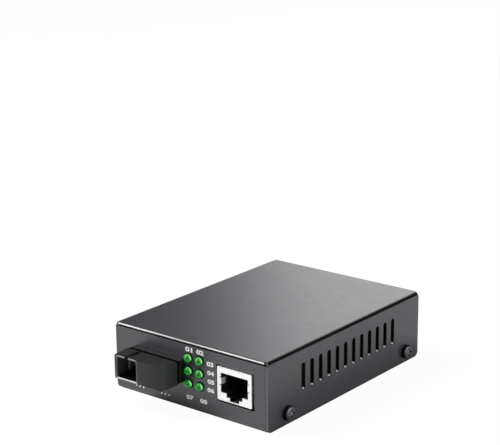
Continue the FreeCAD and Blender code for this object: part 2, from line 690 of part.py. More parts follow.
def transceiver_body():
    """Body on the board, with its studs."""
    low = BOARD_TOP + BODY_FEET
    body = upright_bar(COLLAR_X, low + BODY_HEIGHT / 2, BODY_WIDTH, BODY_HEIGHT, NOSE_CORNER,
                       (BODY_Y, BODY_REAR))
    studs = []
    for x, y in stud_places():
        studs.append(rod(STUD_DIAMETER, Vector(x, y, BOARD_TOP), Vector(x, y, low)))
        studs.append(rod(STUD_DIAMETER / 2, Vector(x, y, BOARD_BOTTOM - PIN_TAIL), Vector(x, y, BOARD_TOP)))
    return joined([body] + studs)


def port_cavity():
    """Space for the optical plug, with its keyway and its bevelled mouth."""
    cavity = Part.Face(port_frame(0, TIP_Y)).extrude(Y_AXIS * PORT_DEPTH)
    mouth = Part.makeLoft([port_frame(RIM_RISE, TIP_Y), port_frame(0, NOSE_Y)], True, True)
    keyway = block(around(PORT_X, KEYWAY_WIDTH), (TIP_Y - SHEET, TIP_Y + KEYWAY_LENGTH),
                   (NOSE_Z, CASE_HEIGHT))
    return [cavity, mouth, keyway]


def transceiver_housing():
    """Moulded housing of the transceiver, open at its one port."""
    return joined([transceiver_nose(), transceiver_body()]).cut(port_cavity())


def transceiver_pins():
    """Row of pins from the body through the board."""
    half = TRANSCEIVER_PIN / 2
    return Part.makeCompound([block((x - half, x + half), (y - half, y + half),
                                    (BOARD_BOTTOM - PIN_TAIL, BOARD_TOP + BODY_FEET))
                              for x, y in transceiver_pin_places()])


def plug_guide():
    """Moulded guide: base plate, barrel and two latch arms with hooks."""
    base_front = PORT_FLOOR - GUIDE_BASE
    base = upright_bar(PORT_X, NOSE_Z, PORT_WIDTH - 2 * GUIDE_PLAY, PORT_HEIGHT - 2 * GUIDE_PLAY,
                       NOSE_CORNER, (base_front, PORT_FLOOR))
    barrel = rod(BARREL_DIAMETER / 2, Vector(PORT_X, base_front, NOSE_Z),
                 Vector(PORT_X, base_front - BARREL_LENGTH, NOSE_Z))
    wall = PORT_WIDTH / 2 - GUIDE_PLAY - LATCH_THICKNESS
    tip = base_front - LATCH_LENGTH
    arm_points = [Vector(wall, base_front, 0), Vector(wall + LATCH_THICKNESS, base_front, 0),
                  Vector(wall + LATCH_THICKNESS, tip, 0), Vector(wall, tip, 0),
                  Vector(wall - LATCH_HOOK, tip + LATCH_HOOK, 0), Vector(wall, tip + 2 * LATCH_HOOK, 0)]
    arm = prism(arm_points, Z_AXIS * LATCH_HEIGHT)
    place = Vector(PORT_X, 0, NOSE_Z - LATCH_HEIGHT / 2)
    arms = [arm.translated(place), mirrored_x(arm).translated(place)]
    bore = rod(BARREL_BORE / 2, Vector(PORT_X, TIP_Y, NOSE_Z), Vector(PORT_X, PORT_FLOOR, NOSE_Z))
    return joined([base, barrel] + arms).cut(bore)


def alignment_sleeve():
    """Split ceramic sleeve inside the guide's barrel."""
    mouth = PORT_FLOOR - GUIDE_BASE - BARREL_LENGTH + SLEEVE_INSET
    ends = [Vector(PORT_X, y, NOSE_Z) for y in (mouth, PORT_FLOOR)]
    outside = rod(BARREL_BORE / 2 - SLEEVE_PLAY, *ends)
    bore = rod(SLEEVE_BORE / 2, Vector(PORT_X, TIP_Y, NOSE_Z), Vector(PORT_X, BODY_REAR, NOSE_Z))
    slit = block(around(PORT_X, SLEEVE_SLIT), (TIP_Y, BODY_REAR), (NOSE_Z - BARREL_BORE, NOSE_Z))
    return outside.cut([bore, slit])


# ---- Indicator lamps -----------------------------------------------------------------------------
def lamp(x, z):
    """Domed lamp with its flange, pointing forward."""
    radius = LAMP_DIAMETER / 2
    tip = FRONT_FACE - LAMP_REACH
    dome = Part.makeSphere(radius, Vector(x, tip + radius, z))
    stem = rod(radius, Vector(x, tip + radius, z), Vector(x, LAMP_SHOULDER, z))
    flange_back = LAMP_SHOULDER + LAMP_FLANGE_LENGTH
    flange = rod(LAMP_FLANGE / 2, Vector(x, LAMP_SHOULDER, z), Vector(x, flange_back, z))
    return joined([dome, stem, flange])


def lamp_holder(column):
    """Stacked holder of one column: a front bore and a rear pocket for each lamp."""
    places = [(x, z) for name, x, z in lamp_places() if LAMP_COLUMNS[column] in name]
    x, top = places[-1]
    holder = flat_plate(around(x, HOLDER_WIDTH), (HOLDER_FRONT, HOLDER_REAR),
                        (BOARD_TOP, top + HOLDER_CROWN), 0)
    cutters = []
    for lamp_x, z in places:
        cutters.append(rod(LAMP_DIAMETER / 2 + LAMP_PLAY, Vector(lamp_x, FRONT_FACE, z),
                           Vector(lamp_x, LAMP_SHOULDER, z)))
        pocket = LAMP_FLANGE + 2 * LAMP_PLAY
        cutters.append(block(around(lamp_x, pocket), (LAMP_SHOULDER, HOLDER_REAR + SHEET), around(z, pocket)))
    return holder.cut(cutters)


def lamp_lead_places():
    """X and Y of each lamp lead's tail, with the Z of its lamp."""
    places = []
    for name, x, z in lamp_places():
        row = LAMP_ROWS.index(name.split("_")[-1])
        y = HOLDER_REAR + LEAD_STEP * (row + 1)
        places += [(x + side * LEAD_SPACING / 2, y, z) for side in (-1, 1)]
    return places


def lamp_leads():
    """Two bent leads from each lamp down through the board."""
    start = LAMP_SHOULDER + LAMP_FLANGE_LENGTH
    leads = []
    for x, y, z in lamp_lead_places():
        path = [Vector(x, start, z), Vector(x, y, z), Vector(x, y, BOARD_BOTTOM - PIN_TAIL)]
        leads.append(ribbon(path, LEAD_SIZE, LEAD_BEND, X_AXIS * LEAD_SIZE))
    return Part.makeCompound(leads)


# ---- Twisted-pair socket -------------------------------------------------------------------------
def plug_opening(y_start, y_end, spread):
    """Stepped opening of the plug and its latch, grown by a spread on each side."""
    profile = [(PLUG_WIDTH / 2, PLUG_TOP + spread), (PLUG_WIDTH / 2, PLUG_SHELF),
               (LATCH_SLOT_WIDTH / 2, PLUG_SHELF), (LATCH_SLOT_WIDTH / 2, LATCH_SLOT_SHELF),
               (LATCH_TIP_WIDTH / 2, LATCH_SLOT_SHELF), (LATCH_TIP_WIDTH / 2, LATCH_TIP_FLOOR)]
    right = [(u + spread, v - (spread if v < PLUG_TOP else 0)) for u, v in profile]
    left = [(-u, v) for u, v in right[::-1]]
    points = [Vector(JACK_X + u, y_start, JACK_BASE + v) for u, v in right + left]
    return prism(points, Y_AXIS * (y_end - y_start))


def shield_tab_places():
    """X and Y of the shield's ground tabs."""
    x = JACK_WIDTH / 2 - SHIELD_THICKNESS / 2
    return [(JACK_X + side * x, JACK_FRONT + SHIELD_TAB_INSET) for side in (-1, 1)]


def peg_places():
    """X and Y of the socket's two locating pegs."""
    return [(JACK_X + side * PEG_SPACING / 2, JACK_FRONT + PEG_INSET) for side in (-1, 1)]


def contact_places():
    """X of the socket's contacts."""
    first = JACK_X - CONTACT_PITCH * (CONTACT_COUNT - 1) / 2
    return [first + CONTACT_PITCH * index for index in range(CONTACT_COUNT)]


def contact_tail_y():
    """Y of the contacts' tails behind the plastic."""
    return SOCKET_REAR + CONTACT_BEND + CONTACT_THICKNESS / 2


def shield_finger(side):
    """Spring finger folded back from the shield's mouth on one side."""
    edge = JACK_X + side * PLUG_WIDTH / 2
    z = JACK_BASE + FINGER_RISE
    front = JACK_FRONT + SHIELD_THICKNESS / 2
    path = [Vector(edge + side * FINGER_ROOT, front, z), Vector(edge, front, z),
            Vector(edge - side * FINGER_BULGE, front + FINGER_LENGTH / 2, z),
            Vector(edge + side * FINGER_BULGE, front + FINGER_LENGTH, z)]
    return ribbon(path, SHIELD_THICKNESS, 0, Z_AXIS * FINGER_HEIGHT)


def finger_slits():
    """Slits above and below each spring finger in the shield's face."""
    slits = []
    for side in (-1, 1):
        edge = JACK_X + side * PLUG_WIDTH / 2
        for level in (-1, 1):
            z = JACK_BASE + FINGER_RISE + level * (FINGER_HEIGHT + FINGER_SLIT) / 2
            slits.append(block(around(edge, 2 * FINGER_ROOT), (JACK_FRONT - SHEET, SOCKET_FRONT),
                               around(z, FINGER_SLIT)))
    return slits


def jack_shield():
    """Folded tin-plated shield: five walls, a stepped mouth and two ground tabs."""
    top = JACK_BASE + JACK_HEIGHT
    shell = upright_bar(JACK_X, (JACK_BASE + top) / 2, JACK_WIDTH, JACK_HEIGHT, SHIELD_CORNER,
                        (JACK_FRONT, JACK_REAR))
    inner = block(around(JACK_X, JACK_WIDTH - 2 * SHIELD_THICKNESS),
                  (JACK_FRONT + SHIELD_THICKNESS, JACK_REAR - SHIELD_THICKNESS),
                  (JACK_BASE - SHIELD_THICKNESS, top - SHIELD_THICKNESS))
    shell = shell.cut([inner, plug_opening(JACK_FRONT - SHEET, SOCKET_FRONT, 0)] + finger_slits())
    tabs = [block(around(x, SHIELD_THICKNESS), around(y, SHIELD_TAB_WIDTH),
                  (BOARD_BOTTOM - PIN_TAIL, JACK_BASE + SHIELD_CORNER)) for x, y in shield_tab_places()]
    fingers = [shield_finger(side) for side in (-1, 1)]
    return joined([shell] + tabs + fingers)


def contact_channel():
    """Slot for the contacts in the socket's roof, open to the rear."""
    span = CONTACT_PITCH * (CONTACT_COUNT - 1) + 2 * CONTACT_WIDTH
    shelf = (CONTACT_SHELF, CONTACT_SHELF + CONTACT_THICKNESS + CONTACT_PLAY)
    front = JACK_FRONT + CONTACT_NOSE - 2 * CONTACT_THICKNESS
    window = block(around(JACK_X, span), (front, front + CONTACT_SPRING + CONTACT_NOSE),
                   (JACK_BASE + PLUG_SHELF, shelf[1]))
    return [block(around(JACK_X, span), (front, JACK_REAR), shelf), window]


def jack_housing():
    """Plastic body of the socket, with its plug cavity, contact slot and pegs."""
    body = block(around(JACK_X, SOCKET_WIDTH), (SOCKET_FRONT, SOCKET_REAR), (JACK_BASE, SOCKET_TOP))
    cutters = [plug_opening(JACK_FRONT, JACK_FRONT + PLUG_DEPTH, 0)] + contact_channel()
    cutters.append(plug_opening(JACK_FRONT, SOCKET_FRONT + PLUG_FUNNEL, PLUG_FUNNEL))
    cutters += finger_pockets()
    pegs = [rod(PEG_DIAMETER / 2, Vector(x, y, BOARD_BOTTOM - PIN_TAIL), Vector(x, y, JACK_BASE + SHEET))
            for x, y in peg_places()]
    return joined([body.cut(cutters)] + pegs)


def finger_pockets():
    """Room for the shield's fingers in the side walls of the plug cavity."""
    pockets = []
    for side in (-1, 1):
        x = JACK_X + side * PLUG_WIDTH / 2
        pockets.append(block(around(x, 2 * (FINGER_BULGE + SHIELD_THICKNESS)),
                             (JACK_FRONT, JACK_FRONT + FINGER_LENGTH + 2 * SHIELD_THICKNESS),
                             around(JACK_BASE + FINGER_RISE, FINGER_HEIGHT + 2 * FINGER_SLIT)))
    return pockets


def jack_contacts():
    """Sprung contacts: back from a free end, over the front bend, and down behind."""
    shelf = CONTACT_SHELF + CONTACT_THICKNESS / 2
    nose = JACK_FRONT + CONTACT_NOSE
    tail = contact_tail_y()
    free_end = JACK_BASE + PLUG_TOP - CONTACT_DIP
    contacts = []
    for x in contact_places():
        path = [Vector(x, nose + CONTACT_SPRING, free_end), Vector(x, nose, shelf),
                Vector(x, tail, shelf), Vector(x, tail, BOARD_BOTTOM - PIN_TAIL)]
        contacts.append(ribbon(path, CONTACT_THICKNESS, CONTACT_BEND, X_AXIS * CONTACT_WIDTH))
    return Part.makeCompound(contacts)


# ---- Power socket --------------------------------------------------------------------------------
def power_tail_places():
    """X and Y of the power socket's terminals in the board."""
    return [(POWER_X, POWER_BACK - POWER_STRIP / 2 - POWER_RIVET_HEAD),
            (POWER_X, POWER_BACK + POWER_LENGTH / 2)]


def power_housing():
    """Socket body: a square front block, a barrel behind it and a base."""
    face_back = POWER_FRONT - POWER_FACE
    width = around(POWER_X, POWER_WIDTH)
    face = block(width, (face_back, POWER_FRONT), (BOARD_TOP, BOARD_TOP + POWER_HEIGHT))
    barrel = rod(POWER_WIDTH / 2, Vector(POWER_X, POWER_BACK, POWER_Z), Vector(POWER_X, face_back, POWER_Z))
    base = block(width, (POWER_BACK, face_back), (BOARD_TOP, POWER_Z))
    bore = rod(POWER_BORE / 2, Vector(POWER_X, POWER_FRONT - POWER_BORE_DEPTH, POWER_Z),
               Vector(POWER_X, POWER_FRONT + SHEET, POWER_Z))
    pin = rod(POWER_PIN / 2, Vector(POWER_X, POWER_BACK - SHEET, POWER_Z),
              Vector(POWER_X, POWER_FRONT, POWER_Z))
    return joined([face, barrel, base]).cut([bore, pin, power_spring_slot()])


def power_spring_slot():
    """Slot in the bore's floor for the sleeve spring and its terminal."""
    y = power_tail_places()[1][1]
    half = POWER_SPRING_WIDTH / 2
    return block((POWER_X - half, POWER_X + half), (y - POWER_SPRING, POWER_FRONT - POWER_FACE),
                 (BOARD_TOP - SHEET, POWER_Z - POWER_PIN / 2 - POWER_SPRING))


def power_pin():
    """Centre pin, riveted at the back of the socket."""
    back = Vector(POWER_X, POWER_BACK, POWER_Z)
    front = Vector(POWER_X, POWER_FRONT - POWER_PIN_INSET, POWER_Z)
    shank = rod(POWER_PIN / 2, back, front)
    tip = [edge for edge in shank.Edges if edge.CenterOfMass.distanceToPoint(front) < TINY]
    head = rod(POWER_RIVET / 2, back - Y_AXIS * POWER_RIVET_HEAD, back)
    return joined([shank.makeFillet(POWER_PIN / 4, tip), head])


def power_terminals():
    """Terminal on the rivet and the sleeve spring, both down through the board."""
    (pin_x, pin_y), (spring_x, spring_y) = power_tail_places()
    low = BOARD_BOTTOM - PIN_TAIL
    strip = block(around(pin_x, POWER_STRIP_WIDTH), around(pin_y, POWER_STRIP),
                  (low, POWER_Z + POWER_RIVET / 2))
    rise = POWER_Z - POWER_BORE / 2 + POWER_SPRING
    front = POWER_FRONT - POWER_FACE - POWER_SPRING
    path = [Vector(spring_x, spring_y, low), Vector(spring_x, spring_y, rise),
            Vector(spring_x, (spring_y + front) / 2, rise + POWER_SPRING), Vector(spring_x, front, rise)]
    spring = ribbon(path, POWER_SPRING, POWER_SPRING / 2, X_AXIS * (POWER_SPRING_WIDTH - POWER_SPRING))
    return Part.makeCompound([strip, spring])


# ---- Components on the board ---------------------------------------------------------------------
def package(x, y, width, depth, height):
    """Moulded chip package just above the board."""
    low = BOARD_TOP + PACKAGE_LIFT
    return block(around(x, width), around(y, depth), (low, low + height))


def converter_chip():
    """Square package with a mark dimple in one corner."""
    y = BOARD_FRONT + CHIP_BEHIND_FRONT
    top = BOARD_TOP + PACKAGE_LIFT + CHIP_HEIGHT
    corner = Vector(CHIP_X - CHIP_SIZE / 2 + DIMPLE, y - CHIP_SIZE / 2 + DIMPLE, top)
    dimple = Part.makeCylinder(DIMPLE / 2, DIMPLE, corner - Z_AXIS * PACKAGE_LIFT)
    return package(CHIP_X, y, CHIP_SIZE, CHIP_SIZE, CHIP_HEIGHT).cut(dimple)


def converter_chip_leads():
    """Leads on the chip's four sides."""
    middle = Vector(CHIP_X, BOARD_FRONT + CHIP_BEHIND_FRONT, BOARD_TOP + GULL_RISE)
    leads = []
    for outwards in (X_AXIS, Y_AXIS, X_AXIS * -1, Y_AXIS * -1):
        leads += lead_row(middle + outwards * (CHIP_SIZE / 2), outwards, CHIP_LEADS_PER_SIDE,
                          CHIP_LEAD_PITCH, CHIP_LEAD_WIDTH)
    return Part.makeCompound(leads)


def two_sided_leads(x, y, depth, count, pitch):
    """Leads along the front and the back of a package."""
    middle = Vector(x, y, BOARD_TOP + GULL_RISE)
    leads = []
    for outwards in (Y_AXIS, Y_AXIS * -1):
        leads += lead_row(middle + outwards * (depth / 2), outwards, count, pitch, CHIP_LEAD_WIDTH)
    return Part.makeCompound(leads)


def isolation_transformer():
    """Package of the socket's isolation transformers."""
    return package(COIL_X, BOARD_FRONT + COIL_BEHIND_FRONT, COIL_WIDTH, COIL_DEPTH, COIL_HEIGHT)


def transformer_leads():
    """Leads of the isolation transformer."""
    return two_sided_leads(COIL_X, BOARD_FRONT + COIL_BEHIND_FRONT, COIL_DEPTH, COIL_LEADS_PER_SIDE,
                           COIL_LEAD_PITCH)


def memory_chip():
    """Small settings memory."""
    return package(MEMORY_X, BOARD_FRONT + MEMORY_BEHIND_FRONT, MEMORY_WIDTH, MEMORY_DEPTH, MEMORY_HEIGHT)


def memory_leads():
    """Leads of the settings memory."""
    return two_sided_leads(MEMORY_X, BOARD_FRONT + MEMORY_BEHIND_FRONT, MEMORY_DEPTH, MEMORY_LEADS_PER_SIDE,
                           COIL_LEAD_PITCH)


def crystal():
    """Clock crystal: an oblong can on a wider rim."""
    y = BOARD_FRONT + CRYSTAL_BEHIND_FRONT
    rim_top = BOARD_TOP + CRYSTAL_RIM
    rim_length = CRYSTAL_LENGTH + 2 * CRYSTAL_RIM
    rim_width = CRYSTAL_WIDTH + 2 * CRYSTAL_RIM
    rim = flat_plate(around(CRYSTAL_X, rim_length), around(y, rim_width), (BOARD_TOP, rim_top), rim_width / 2)
    can = flat_plate(around(CRYSTAL_X, CRYSTAL_LENGTH), around(y, CRYSTAL_WIDTH),
                     (rim_top, BOARD_TOP + CRYSTAL_HEIGHT), CRYSTAL_WIDTH / 2)
    return joined([rim, can])


def voltage_regulator():
    """Surface-mounted regulator package."""
    return package(REGULATOR_X, BOARD_REAR - REGULATOR_AHEAD_REAR, REGULATOR_WIDTH, REGULATOR_DEPTH,
                   REGULATOR_HEIGHT)


def regulator_leads():
    """Three leads at the front of the regulator and its wide tab at the back."""
    y = BOARD_REAR - REGULATOR_AHEAD_REAR
    front = Vector(REGULATOR_X, y - REGULATOR_DEPTH / 2, BOARD_TOP + GULL_RISE)
    back = Vector(REGULATOR_X, y + REGULATOR_DEPTH / 2, BOARD_TOP + GULL_RISE)
    leads = lead_row(front, Y_AXIS * -1, 3, REGULATOR_PITCH, CHIP_LEAD_WIDTH)
    return Part.makeCompound(leads + [gull_lead(back, Y_AXIS, REGULATOR_TAB)])


def capacitor_places():
    """X and Y of the two smoothing capacitors."""
    y = BOARD_REAR - CAPACITOR_AHEAD_REAR
    return [(CAPACITOR_X, y), (CAPACITOR_X + CAPACITOR_SPACING, y)]


def capacitor_bases():
    """Square plastic seats of the capacitors."""
    top = BOARD_TOP + CAPACITOR_BASE_HEIGHT
    return Part.makeCompound([block(around(x, CAPACITOR_BASE), around(y, CAPACITOR_BASE), (BOARD_TOP, top))
                              for x, y in capacitor_places()])


def capacitor_cans():
    """Aluminium cans with a broken top edge."""
    radius = CAPACITOR_DIAMETER / 2
    low = BOARD_TOP + CAPACITOR_BASE_HEIGHT
    high = BOARD_TOP + CAPACITOR_HEIGHT
    profile = [(0, low), (radius, low), (radius, high - CAPACITOR_EDGE),
               (radius - CAPACITOR_EDGE, high), (0, high)]
    can = Part.Face(outline([Vector(u, 0, v) for u, v in profile]))
    turned = can.revolve(Vector(0, 0, 0), Z_AXIS, 360)
    return Part.makeCompound([turned.translated(Vector(x, y, 0)) for x, y in capacitor_places()])


def choke_place():
    """Middle of the power choke's foot."""
    return Vector(CHOKE_X, BOARD_REAR - CHOKE_AHEAD_REAR, BOARD_TOP)


def choke_core():
    """Ferrite bobbin of the power choke."""
    foot = choke_place()
    top = foot + Z_AXIS * CHOKE_HEIGHT
    lower = rod(CHOKE_DIAMETER / 2, foot, foot + Z_AXIS * CHOKE_FLANGE)
    upper = rod(CHOKE_DIAMETER / 2, top - Z_AXIS * CHOKE_FLANGE, top)
    return joined([lower, rod(CHOKE_CORE / 2, foot, top), upper])


def choke_winding():
    """Copper winding on the bobbin."""
    start = choke_place() + Z_AXIS * CHOKE_FLANGE
    end = choke_place() + Z_AXIS * (CHOKE_HEIGHT - CHOKE_FLANGE)
    return rod(CHOKE_WINDING / 2, start, end).cut(rod(CHOKE_CORE / 2, start, end))


def small_part_row(x, y, height):
    """Row of small surface-mounted parts."""
    return [block(around(x + SMALL_PITCH * index, SMALL_LENGTH), around(y, SMALL_WIDTH),
                  (BOARD_TOP, BOARD_TOP + height)) for index in range(SMALL_PER_ROW)]


def chip_resistors():
    """Line resistors behind the converter chip."""
    y = BOARD_FRONT + CHIP_BEHIND_FRONT + CHIP_SIZE / 2 + GULL_REACH + 2 * SMALL_WIDTH
    return Part.makeCompound(small_part_row(CHIP_X - CHIP_SIZE / 2, y, SMALL_HEIGHT / 2))


def chip_capacitors():
    """Ceramic capacitors beside the regulator."""
    y = BOARD_REAR - REGULATOR_AHEAD_REAR + REGULATOR_DEPTH + GULL_REACH
    return Part.makeCompound(small_part_row(REGULATOR_X - REGULATOR_WIDTH / 2, y, SMALL_HEIGHT))


# ---- The whole converter -------------------------------------------------------------------------
def all_nodes():
    """Every piece by name."""
    nodes = {
        "top_cover": top_cover(),
        "base_tray": base_tray(),
        "cover_screws": cover_screws(),
        "board_standoffs": board_standoffs(),
        "board_screws": board_screws(),
        "circuit_board": circuit_board(),
        "transceiver_housing": transceiver_housing(),
        "transceiver_pins": transceiver_pins(),
        "plug_guide": plug_guide(),
        "alignment_sleeve": alignment_sleeve(),
        "jack_shield": jack_shield(),
        "jack_housing": jack_housing(),
        "jack_contacts": jack_contacts(),
        "lamp_leads": lamp_leads(),
        "power_housing": power_housing(),
        "power_pin": power_pin(),
        "power_terminals": power_terminals(),
        "converter_chip": converter_chip(),
        "converter_chip_leads": converter_chip_leads(),
        "isolation_transformer": isolation_transformer(),
        "transformer_leads": transformer_leads(),
        "memory_chip": memory_chip(),
        "memory_leads": memory_leads(),
        "crystal": crystal(),
        "voltage_regulator": voltage_regulator(),
        "regulator_leads": regulator_leads(),
        "capacitor_bases": capacitor_bases(),
        "capacitor_cans": capacitor_cans(),
        "choke_core": choke_core(),
        "choke_winding": choke_winding(),
        "chip_resistors": chip_resistors(),
        "chip_capacitors": chip_capacitors(),
    }
    for column, side in enumerate(LAMP_COLUMNS):
        nodes[f"lamp_holder_{side}"] = lamp_holder(column)
    for name, x, z in lamp_places():
        nodes[name] = lamp(x, z)
    return nodes


def main():
    """Write one STEP file for each piece."""
    os.makedirs("parts", exist_ok=True)
    for name, shape in all_nodes().items():
        shape.exportStep(f"parts/{name}.step")


main()
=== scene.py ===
import logging
import math
from dataclasses import dataclass
from enum import Enum
from typing import Optional, Sequence, Union

import bmesh
import bpy
from mathutils import Matrix, Vector


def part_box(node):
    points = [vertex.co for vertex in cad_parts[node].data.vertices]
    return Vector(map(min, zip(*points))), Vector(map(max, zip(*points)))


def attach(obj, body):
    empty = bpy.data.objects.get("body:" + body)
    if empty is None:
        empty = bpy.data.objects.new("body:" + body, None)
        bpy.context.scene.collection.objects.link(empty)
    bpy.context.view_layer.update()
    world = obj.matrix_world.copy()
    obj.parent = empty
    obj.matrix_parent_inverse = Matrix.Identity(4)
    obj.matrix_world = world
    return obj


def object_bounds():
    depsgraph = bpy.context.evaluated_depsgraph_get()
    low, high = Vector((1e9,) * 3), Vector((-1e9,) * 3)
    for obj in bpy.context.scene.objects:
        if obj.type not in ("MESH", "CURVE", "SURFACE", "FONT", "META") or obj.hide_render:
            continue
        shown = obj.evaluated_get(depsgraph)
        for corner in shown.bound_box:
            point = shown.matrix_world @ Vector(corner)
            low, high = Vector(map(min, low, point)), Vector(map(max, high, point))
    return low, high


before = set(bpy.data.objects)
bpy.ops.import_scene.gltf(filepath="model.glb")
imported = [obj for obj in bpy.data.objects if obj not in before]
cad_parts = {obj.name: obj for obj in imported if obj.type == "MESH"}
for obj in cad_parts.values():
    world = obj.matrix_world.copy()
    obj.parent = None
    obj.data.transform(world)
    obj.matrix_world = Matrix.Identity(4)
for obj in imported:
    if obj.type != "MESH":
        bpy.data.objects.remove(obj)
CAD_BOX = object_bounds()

# The finishes, the printed marks and the small soldered details of a fibre media converter,
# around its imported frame, with a studio and a camera. Metres, in the frame's own axes: X to the
# right across the front panel, Y back, Z up.

log = logging.getLogger("converter")

MM = 0.001
SHEET = 1 * MM             # thickness of the case's sheet steel
BORDER = 0.02 * MM         # soft border of a narrow mask
SEAM = 0.001 * MM          # corners nearer than this are one
NOISE_SPAN = (0.3, 0.7)    # the part of its range that noise mostly keeps to
SQUARE_ON = (0.8, 0.9)     # part of a normal along an axis, from which a surface faces that way

Span = tuple[float, float]
Colour = tuple[float, float, float]
Socket = bpy.types.NodeSocket
Input = Union[Socket, float, tuple]


# ---- Node trees ----------------------------------------------------------------------------------
class Graph:
    """A node tree with short calls that add nodes and join them."""

    def __init__(self, tree: bpy.types.NodeTree) -> None:
        """Starts on a tree.

        Args:
            tree: The shader or geometry node tree that gets the nodes.
        """
        self.tree = tree

    def add(self, kind: str, **settings: object) -> bpy.types.Node:
        """Adds a node and sets its own settings.

        Args:
            kind: The node's type name in Blender.
            settings: Attributes of the node, such as its operation.

        Returns:
            The new node.
        """
        node = self.tree.nodes.new(kind)
        for name, value in settings.items():
            setattr(node, name, value)
        return node

    def feed(self, socket: Socket, value: Optional[Input]) -> None:
        """Joins a socket to another, or gives it a plain value.

        Args:
            socket: The input that is set.
            value: A node's output, a number or a tuple; None leaves the input as it is.
        """
        if isinstance(value, bpy.types.NodeSocket):
            self.tree.links.new(value, socket)
        elif value is not None:
            socket.default_value = value

    def maths(self, operation: str, first: Input, second: Optional[Input] = None) -> Socket:
        """Adds a Math node.

        Args:
            operation: The Math node's operation.
            first: Its first input.
            second: Its second input, where the operation has one.

        Returns:
            The result.
        """
        node = self.add("ShaderNodeMath", operation=operation)
        self.feed(node.inputs[0], first)
        self.feed(node.inputs[1], second)
        return node.outputs[0]

    def between(self, value: Input, low: float, high: float, soft: float) -> Socket:
        """A mask that is 1 between two values and falls off softly outside them.

        Args:
            value: What is measured.
            low: Where the mask begins.
            high: Where the mask ends.
            soft: Width of each soft border.

        Returns:
            The mask, from 0 to 1.
        """
        return self.both(self.rise(value, low - soft, low), self.fall(value, high, high + soft))

    def both(self, *masks: Input) -> Socket:
        """Where all the masks hold: their product.

        Args:
            masks: The masks, or other values.

        Returns:
            The product.
        """
        result = masks[0]
        for mask in masks[1:]:
            result = self.maths("MULTIPLY", result, mask)
        return result

    def either(self, *masks: Input) -> Socket:
        """Where any of the masks holds: their greatest.

        Args:
            masks: The masks, or other values.

        Returns:
            The greatest.
        """
        result = masks[0]
        for mask in masks[1:]:
            result = self.maths("MAXIMUM", result, mask)
        return result

    def remap(self, value: Input, low: float, high: float, start: float, end: float) -> Socket:
        """Takes a value from one range to another and holds it inside the second.

        Args:
            value: What is taken over.
            low: Start of its own range.
            high: End of its own range.
            start: Result at the start.
            end: Result at the end.

        Returns:
            The new value.
        """
        node = self.add("ShaderNodeMapRange")
        for index, part in enumerate((value, low, high, start, end)):
            self.feed(node.inputs[index], part)
        return node.outputs[0]

    def rise(self, value: Input, start: float, full: float) -> Socket:
        """A mask that grows from 0 to 1 between two values."""
        return self.remap(value, start, full, 0.0, 1.0)

    def fall(self, value: Input, start: float, end: float) -> Socket:
        """A mask that falls from 1 to 0 between two values."""
        return self.remap(value, start, end, 1.0, 0.0)

    def inverse(self, mask: Input) -> Socket:
        """Where a mask doesn't hold."""
        return self.maths("SUBTRACT", 1.0, mask)

    def size(self, value: Input) -> Socket:
        """A value without its sign."""
        return self.maths("ABSOLUTE", value)

    def apart(self, first: Input, second: Input) -> Socket:
        """How far two values are from each other."""
        return self.size(self.maths("SUBTRACT", first, second))

    def mixed(self, share: Input, first: Input, second: Input) -> Socket:
        """Mixes two colours.

        Args:
            share: Part of the second colour, from 0 to 1.
            first: The colour at 0.
            second: The colour at 1.

        Returns:
            The mixed colour.
        """
        node = self.add("ShaderNodeMix", data_type="RGBA")
        self.feed(node.inputs[0], share)
        self.feed(node.inputs[6], rgba(first))
        self.feed(node.inputs[7], rgba(second))
        return node.outputs[2]


def rgba(colour: Input) -> Input:
    """Gives a plain colour its alpha and leaves a socket as it is."""
    return (*colour, 1.0) if isinstance(colour, tuple) and len(colour) == 3 else colour


